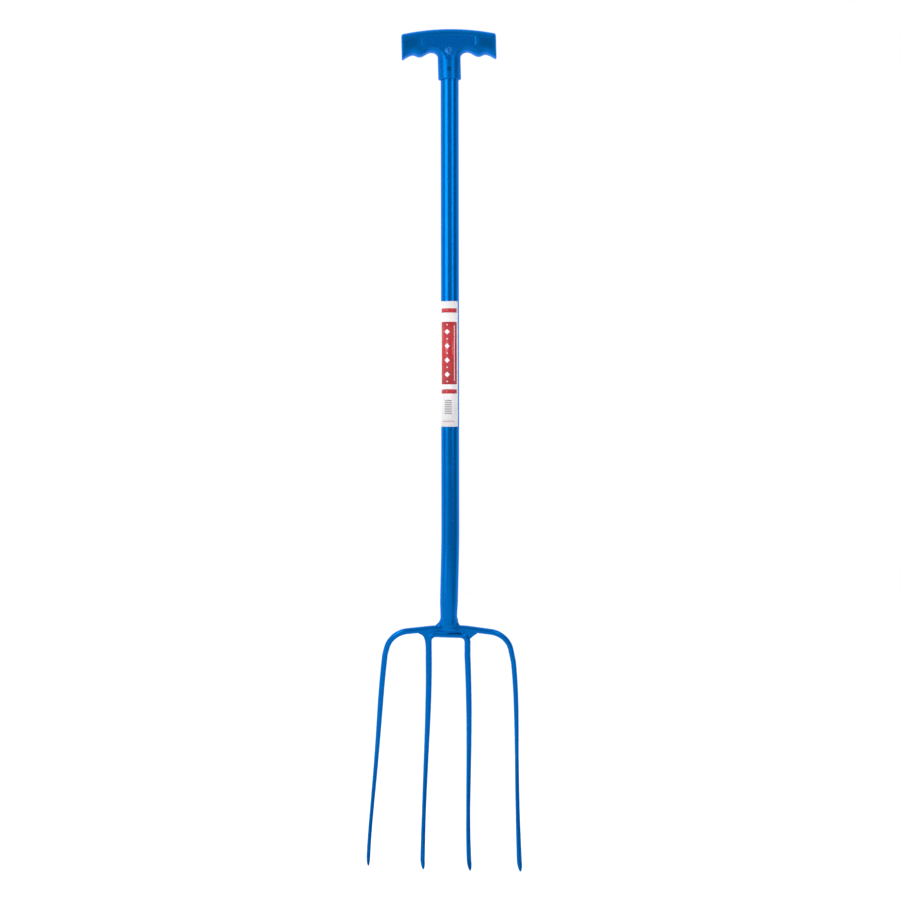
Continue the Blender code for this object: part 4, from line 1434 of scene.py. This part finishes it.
def makeStuds(name, front):
    side = -1.0 if front else 1.0
    across = grip["studAcross"] / 2
    down = grip["studDown"] / 2
    turnX, turnZ, turnReach = grip["studTurn"]
    leanX, leanZ = grip["studLean"]
    places = []
    outwards = []
    polishAndGlintShares = []
    random = np.random.default_rng(7)
    edge = grip["studEdge"]
    padEnd = grip["padHalfLength"] - grip["studEndEdge"]
    padLow = grip["padFoot"] + edge
    columns = int(grip["studReach"] / across)
    for column in range(-columns, columns + 1):
        for row in range(int(grip["studReach"] / down)):
            if (column + row) % 2:
                continue
            x = column * across
            z = grip["studFirst"] + row * down
            inPad = abs(x) < padEnd and z > padLow
            inVee = abs(x) < float(veeHalf(z)) - edge and z < padLow
            clearOfRib = x < grip["ribPlace"] - grip["ribWidth"]
            underCrown = z < float(crownHeight(x)) - grip["padTop"] - edge
            if (inPad or inVee) and clearOfRib and underCrown:
                # The pad rolls over towards the socket here, so its studs lean
                lean = math.exp(-((x - turnX) ** 2 + (z - turnZ) ** 2) / turnReach ** 2)
                lean *= random.uniform(*grip["studChance"])
                outward = Vector((-leanX * side * lean, side, leanZ * lean))
                # Painted glint: the more a stud leans, the more bright blue colour it gets, and the
                # smoother it is
                polishAndGlintShares.append(lean * lean)
                places.append(gripFrame @ Vector((x, side * float(padLevel(z)), z)))
                outwards.append((gripTurn @ outward).normalized())
    level = gripTurn @ Vector((1.0, 0.0, 0.0))
    mesh = pointMesh(name, places, {"outward": outwards, "across": [level] * len(places)},
                     {"polishAndGlint": polishAndGlintShares}, joined=False)
    piece = runTree(newObject(name + "Points", mesh), studTree, {
        "Across": grip["studAcross"], "Down": grip["studDown"], "Height": grip["studHeight"],
        "Material": gripPlastic}, name)
    facesOut(piece.data)
    piece = dress(piece, None, "grip_plastic")
    piece.data.shade_flat()
    return piece


def makeScrew():
    place = mouth + gripTurn @ Vector((0.0, 0.0, screw["height"]))
    face = grip["socketDiameter"] / 2 - screw["sink"]
    head = screw["headDiameter"] / 2
    shank = screw["shankDiameter"] / 2
    # Forward place and radius of each ring, from the crown of the head to the end of the shank
    steps = (
        (face + 0.0001, head * 0.20), (face, head * 0.62), (face - 0.0002, head * 0.86),
        (face - 0.0006, head), (face - screw["headHeight"], head),
        (face - screw["headHeight"], shank), (face - screw["length"] + shank, shank),
        (face - screw["length"], shank * 0.3),
    )
    sides = 48
    angles = [2 * math.pi * step / sides for step in range(sides)]
    rings = [[place + Vector((math.cos(angle) * radius, -forward, math.sin(angle) * radius))
              for angle in angles] for forward, radius in steps]
    item = solidFrom("screwBlank", loftRings(rings))
    middle = Matrix.Translation(place - Vector((0.0, face + 0.0002, 0.0)))
    size = (screw["crossLength"], screw["crossDepth"] * 2, screw["crossWidth"], 1.0)
    cutters = []
    for turn in (screw["crossTurn"], screw["crossTurn"] + math.pi / 2):
        data = bmesh.new()
        stroke = middle @ Matrix.Rotation(turn, 4, "Y") @ Matrix.Diagonal(size)
        bmesh.ops.create_cube(data, size=1.0, matrix=stroke)
        cutter = newObject("crossCutter", meshFrom("crossCutter", data))
        cutters.append(cutter)
        cut = item.modifiers.new("cross", "BOOLEAN")
        cut.object = cutter
        cut.solver = "EXACT"
    piece = settle(item, "gripScrew")
    for cutter in cutters:
        bpy.data.objects.remove(cutter)
    dress(piece, screwCoat, "coated_screw", "grip_screw")
    piece.data.set_sharp_from_angle(angle=math.radians(35))


makeGrip()
studTree = makeStudTree()
makeStuds("gripStudsFront", True)
makeStuds("gripStudsBack", False)
makeScrew()
print("grip made")


# Label: white film wrapped on the tube, with a plain generic print

label = {
    "top": 0.3131,
    "length": 0.1765,
    "left": math.radians(-94),
    "right": math.radians(57),
    "clearance": 0.00008,
    "thickness": 0.00022,
    "corner": 0.0015,
    "cornerSteps": 6,
    "angleStep": math.radians(3),
    "panelLeft": math.radians(-66),
    "panelRight": math.radians(47),
    "panelLift": 0.000008,
    "rowLift": 0.00008,
    "printThickness": 0.00005,
    # Name, distance below the top, height, corner
    "panels": (
        ("labelPanelLong", 0.0290, 0.0880, 0.0012),
        ("labelPanelShort", 0.0100, 0.0060, 0.0010),
        ("labelPanelLow", 0.1240, 0.0060, 0.0010),
    ),
    # White diamonds down the long panel, a rule beside them, and grey ruled lines below:
    # name, width, height, count, pitch, place round the tube, distance below the top, turn
    "rows": (
        ("labelDiamonds", 0.0056, 0.0056, 4, 0.0200, -0.0042, 0.0430, math.pi / 4, labelWhite),
        ("labelDots", 0.0017, 0.0017, 5, 0.0200, -0.0042, 0.0330, math.pi / 4, labelWhite),
        ("labelRule", 0.0009, 0.0780, 1, 0.001, 0.0062, 0.0730, 0.0, labelWhite),
        ("labelLines", 0.0105, 0.0010, 8, 0.0026, -0.0030, 0.1400, 0.0, labelGrey),
        ("labelEndLine", 0.0180, 0.0006, 1, 0.001, -0.0030, 0.1690, 0.0, labelRed),
    ),
}
filmRadius = tube["diameter"] / 2 + label["clearance"]
printRadius = filmRadius + label["thickness"]
labelTop = mouthZ - label["top"]


# A thin patch with round corners on the tube: angles in radians, heights in metres
def wrappedPatch(name, left, right, low, high, corner, radius, thickness):
    turn = corner / radius
    shares = evenSteps(0.0, 1.0, label["cornerSteps"])
    easing = [1 - math.cos(math.pi / 2 * share) for share in shares]
    angles = [left + turn * share for share in easing]
    steps = max(int((right - left) / label["angleStep"]), 2)
    run = right - left - 2 * turn
    angles += [left + turn + run * index / steps for index in range(1, steps)]
    angles += [right - turn * share for share in reversed(easing)]
    rings = []
    for angle in angles:
        edge = min(angle - left, right - angle) * radius
        short = max(corner - edge, 0.0)
        cut = corner - math.sqrt(max(corner * corner - short * short, 0.0))
        outline = ((radius, low + cut), (radius + thickness, low + cut),
                   (radius + thickness, high - cut), (radius, high - cut))
        rings.append([Vector((shaftX + reach * math.sin(angle), shaftY - reach * math.cos(angle),
                              height)) for reach, height in outline])
    return solidFrom(name, loftRings(rings))


# Rows of small flat shapes, printed round the tube
def makePrintTree():
    tree, given = geometryTree("printedRow", (
        ("Width", "Float", 0.004),
        ("Height", "Float", 0.001),
        ("Turn", "Float", 0.0),
        ("Count", "Int", 5),
        ("Pitch", "Float", 0.004),
        ("Start", "Vector", (0.0, 0.0, 0.0)),
        ("Axis", "Vector", (0.0, 0.0, 0.0)),
        ("Radius", "Float", 0.013),
        ("Thickness", "Float", 0.0001),
        ("Material", "Material", None),
    ))
    block = addNode(tree, "GeometryNodeMeshCube", {
        "Size": combine(tree, given["Width"], given["Thickness"], given["Height"]),
        "Vertices X": 14, "Vertices Y": 2, "Vertices Z": 6})
    turn = addNode(tree, "FunctionNodeEulerToRotation", {"Euler": combine(tree, y=given["Turn"])})
    lean = addNode(tree, "GeometryNodeTransform", {
        "Geometry": block.outputs[0], "Rotation": turn.outputs[0]})
    row = addNode(tree, "GeometryNodeMeshLine", {
        "Count": given["Count"], "Start Location": given["Start"],
        "Offset": combine(tree, z=negative(tree, given["Pitch"]))})
    copies = addNode(tree, "GeometryNodeInstanceOnPoints", {
        "Points": row.outputs[0], "Instance": lean.outputs[0]})
    flat = addNode(tree, "GeometryNodeRealizeInstances", {"Geometry": copies.outputs[0]})
    place = addNode(tree, "ShaderNodeSeparateXYZ", {
        0: tree.nodes.new("GeometryNodeInputPosition").outputs[0]})
    angle = maths(tree, "DIVIDE", place.outputs[0], given["Radius"])
    reach = maths(tree, "SUBTRACT", given["Radius"], place.outputs[1])
    across = maths(tree, "MULTIPLY", reach, maths(tree, "SINE", angle))
    forward = maths(tree, "MULTIPLY", reach, maths(tree, "COSINE", angle))
    turned = combine(tree, across, negative(tree, forward), place.outputs[2])
    wrapped = addNode(tree, "GeometryNodeSetPosition", {
        "Geometry": flat.outputs[0], "Position": vectors(tree, "ADD", turned, given["Axis"])})
    endTree(tree, wrapped.outputs[0], given["Material"])
    return tree


printTree = makePrintTree()


def printRow(name, width, height, count, pitch, around, below, turn, material):
    radius = printRadius + label["rowLift"]
    item = newObject(name + "Seed", bpy.data.meshes.new(name))
    piece = runTree(item, printTree, {
        "Width": width, "Height": height, "Turn": turn, "Count": count, "Pitch": pitch,
        "Start": (around, 0.0, labelTop - below), "Axis": (shaftX, shaftY, 0.0),
        "Radius": radius, "Thickness": label["printThickness"], "Material": material}, name)
    facesOut(piece.data)
    return dress(piece, None, "label_film")


def makeLabel():
    film = wrappedPatch("labelFilm", label["left"], label["right"], labelTop - label["length"],
                        labelTop, label["corner"], filmRadius, label["thickness"])
    dress(film, labelWhite, "label_film", "label")
    for name, below, tall, corner in label["panels"]:
        high = labelTop - below
        radius = printRadius + label["panelLift"]
        panel = wrappedPatch(name, label["panelLeft"], label["panelRight"], high - tall, high,
                             corner, radius, label["printThickness"])
        dress(panel, labelRed, "label_film")
    for row in label["rows"]:
        printRow(*row)


makeLabel()
print("label made")


# Studio: a pale floor, a white surround, a dark screen at the right and four soft lamps

studio = {
    "floorSize": 14.0,
    "floorColour": (0.78, 0.78, 0.78),
    "floorTone": (3.0, 2.0, 0.0, 1.0),
    "floorMottle": 0.985,
    "floorRoughness": 0.9,
    "floorGlow": 0.6,
    "floorLift": 0.1,
    "glowDepth": (-0.2, 0.4),
    "frontGrey": 0.22,
    "screenShade": 0.90,
    "screenSide": (0.60, 0.92),
    "screenFoot": 0.35,
    "footAcross": (0.30, 0.80),
    "footDepth": (0.05, -0.25),
    "backWhite": 1.80,
    "backDepth": (-0.28, 0.38),
    "aboveShare": 0.6,
    "aboveHeight": (0.55, 0.95),
    "cameraDistance": 3.6,
    "cameraHeight": 0.5981,
    "cameraAside": -0.0003,
    "cameraRoll": math.radians(0.086),
    "photoWidth": 900,
    "metresPerPixel": 0.001411,
    "sensorWidth": 36.0,
    # Name, azimuth from the camera's side in degrees, distance, height, width, length, radiance
    "lamps": (
        ("leftStrip", -46.0, 1.7, 1.58, 1.04, 1.66, 5.2),
        ("rightStrip", 35.0, 1.9, 1.50, 0.70, 1.60, 4.2),
        ("leftFoot", -46.0, 1.7, 0.65, 1.04, 0.20, 1.3),
        ("lowStrip", -54.0, 1.7, 0.20, 0.70, 0.44, 1.8),
    ),
}


def makeWorld():
    world = bpy.data.worlds.new("studioWorld")
    bpy.context.scene.world = world
    world.use_nodes = True
    tree = world.node_tree
    tree.nodes.clear()
    direction = tree.nodes.new("ShaderNodeTexCoord").outputs["Generated"]
    across, depth, height = addNode(tree, "ShaderNodeSeparateXYZ", {0: direction}).outputs
    behind = spread(tree, depth, 0.0, 1.0, *studio["backDepth"], "SMOOTHSTEP")
    above = spread(tree, height, 0.0, studio["aboveShare"], *studio["aboveHeight"], "SMOOTHSTEP")
    # The dark screen stands in front of the white surround
    grey = studio["frontGrey"]
    screen = spread(tree, across, grey, grey * (1 - studio["screenShade"]), *studio["screenSide"],
                    "SMOOTHSTEP")
    white = maths(tree, "MAXIMUM", behind, above)
    glow = spread(tree, white, screen, studio["backWhite"], 0.0, 1.0)
    path = tree.nodes.new("ShaderNodeLightPath")
    seen = maths(tree, "MAXIMUM", path.outputs["Is Camera Ray"],
                 path.outputs["Is Transmission Ray"])
    strength = addNode(tree, "ShaderNodeMix", {"Factor": seen, "A": glow, "B": 1.0})
    surround = addNode(tree, "ShaderNodeBackground", {
        "Color": (1.0, 1.0, 1.0, 1.0), "Strength": strength.outputs[0]})
    end = tree.nodes.new("ShaderNodeOutputWorld")
    tree.links.new(surround.outputs[0], end.inputs["Surface"])


def makeFloor():
    data = bmesh.new()
    bmesh.ops.create_grid(data, x_segments=1, y_segments=1, size=studio["floorSize"] / 2)
    floor = newObject("floor", meshFrom("floor", data))
    material, tree, shader, where = newMaterial("paleFloor")
    tone = patches(tree, where, *studio["floorTone"])
    pale = studio["floorColour"]
    colour = mixColour(tree, tone, pale, tuple(value * studio["floorMottle"] for value in pale))
    shader.inputs["Roughness"].default_value = studio["floorRoughness"]
    path = tree.nodes.new("ShaderNodeLightPath")
    seen = path.outputs["Is Camera Ray"]
    mirrored = path.outputs["Is Glossy Ray"]
    # The coat mirrors the foot of the dark screen at the right
    across, depth, _ = addNode(tree, "ShaderNodeSeparateXYZ", {0: where}).outputs
    foot = maths(tree, "MULTIPLY", spread(tree, across, 0.0, 1.0, *studio["footAcross"]),
                 spread(tree, depth, 0.0, 1.0, *studio["footDepth"]))
    dark = tuple(value * studio["screenFoot"] for value in pale)
    colour = mixColour(tree, maths(tree, "MULTIPLY", foot, mirrored), colour, dark)
    tree.links.new(colour, shader.inputs["Base Color"])
    # The floor behind the fork looks white, and shines white in the coat, as the wall does
    glow = maths(tree, "ADD", maths(tree, "MULTIPLY", mirrored, studio["floorGlow"]),
                 maths(tree, "MULTIPLY", seen, studio["floorLift"]))
    behind = spread(tree, depth, 0.0, 1.0, *studio["glowDepth"])
    shader.inputs["Emission Color"].default_value = (1.0, 1.0, 1.0, 1.0)
    tree.links.new(maths(tree, "MULTIPLY", glow, behind), shader.inputs["Emission Strength"])
    floor.data.materials.append(material)


# A soft lamp: azimuth from the camera's side, size and radiance
def makeLamp(name, azimuth, distance, height, wide, tall, radiance):
    data = bpy.data.lights.new(name, "AREA")
    data.shape = "RECTANGLE"
    data.size = wide
    data.size_y = tall
    data.energy = radiance * math.pi * wide * tall
    lamp = bpy.data.objects.new(name, data)
    bpy.context.scene.collection.objects.link(lamp)
    turn = math.radians(azimuth)
    lamp.location = (shaftX + math.sin(turn) * distance, shaftY - math.cos(turn) * distance, height)
    aim = Vector((shaftX, shaftY, height)) - lamp.location
    lamp.rotation_euler = aim.to_track_quat("-Z", "Y").to_euler()
    lamp.visible_camera = False


def makeCamera():
    data = bpy.data.cameras.new("photoCamera")
    camera = bpy.data.objects.new("photoCamera", data)
    bpy.context.scene.collection.objects.link(camera)
    camera.location = (shaftX + studio["cameraAside"], shaftY - studio["cameraDistance"],
                       studio["cameraHeight"])
    camera.rotation_euler = (math.pi / 2, studio["cameraRoll"], 0.0)
    data.sensor_width = studio["sensorWidth"]
    wide = studio["metresPerPixel"] * studio["photoWidth"]
    data.lens = studio["sensorWidth"] * studio["cameraDistance"] / wide
    bpy.context.scene.camera = camera


makeWorld()
makeFloor()
for lamp in studio["lamps"]:
    makeLamp(*lamp)
makeCamera()
bpy.context.scene.view_settings.view_transform = "Standard"
print("studio made")
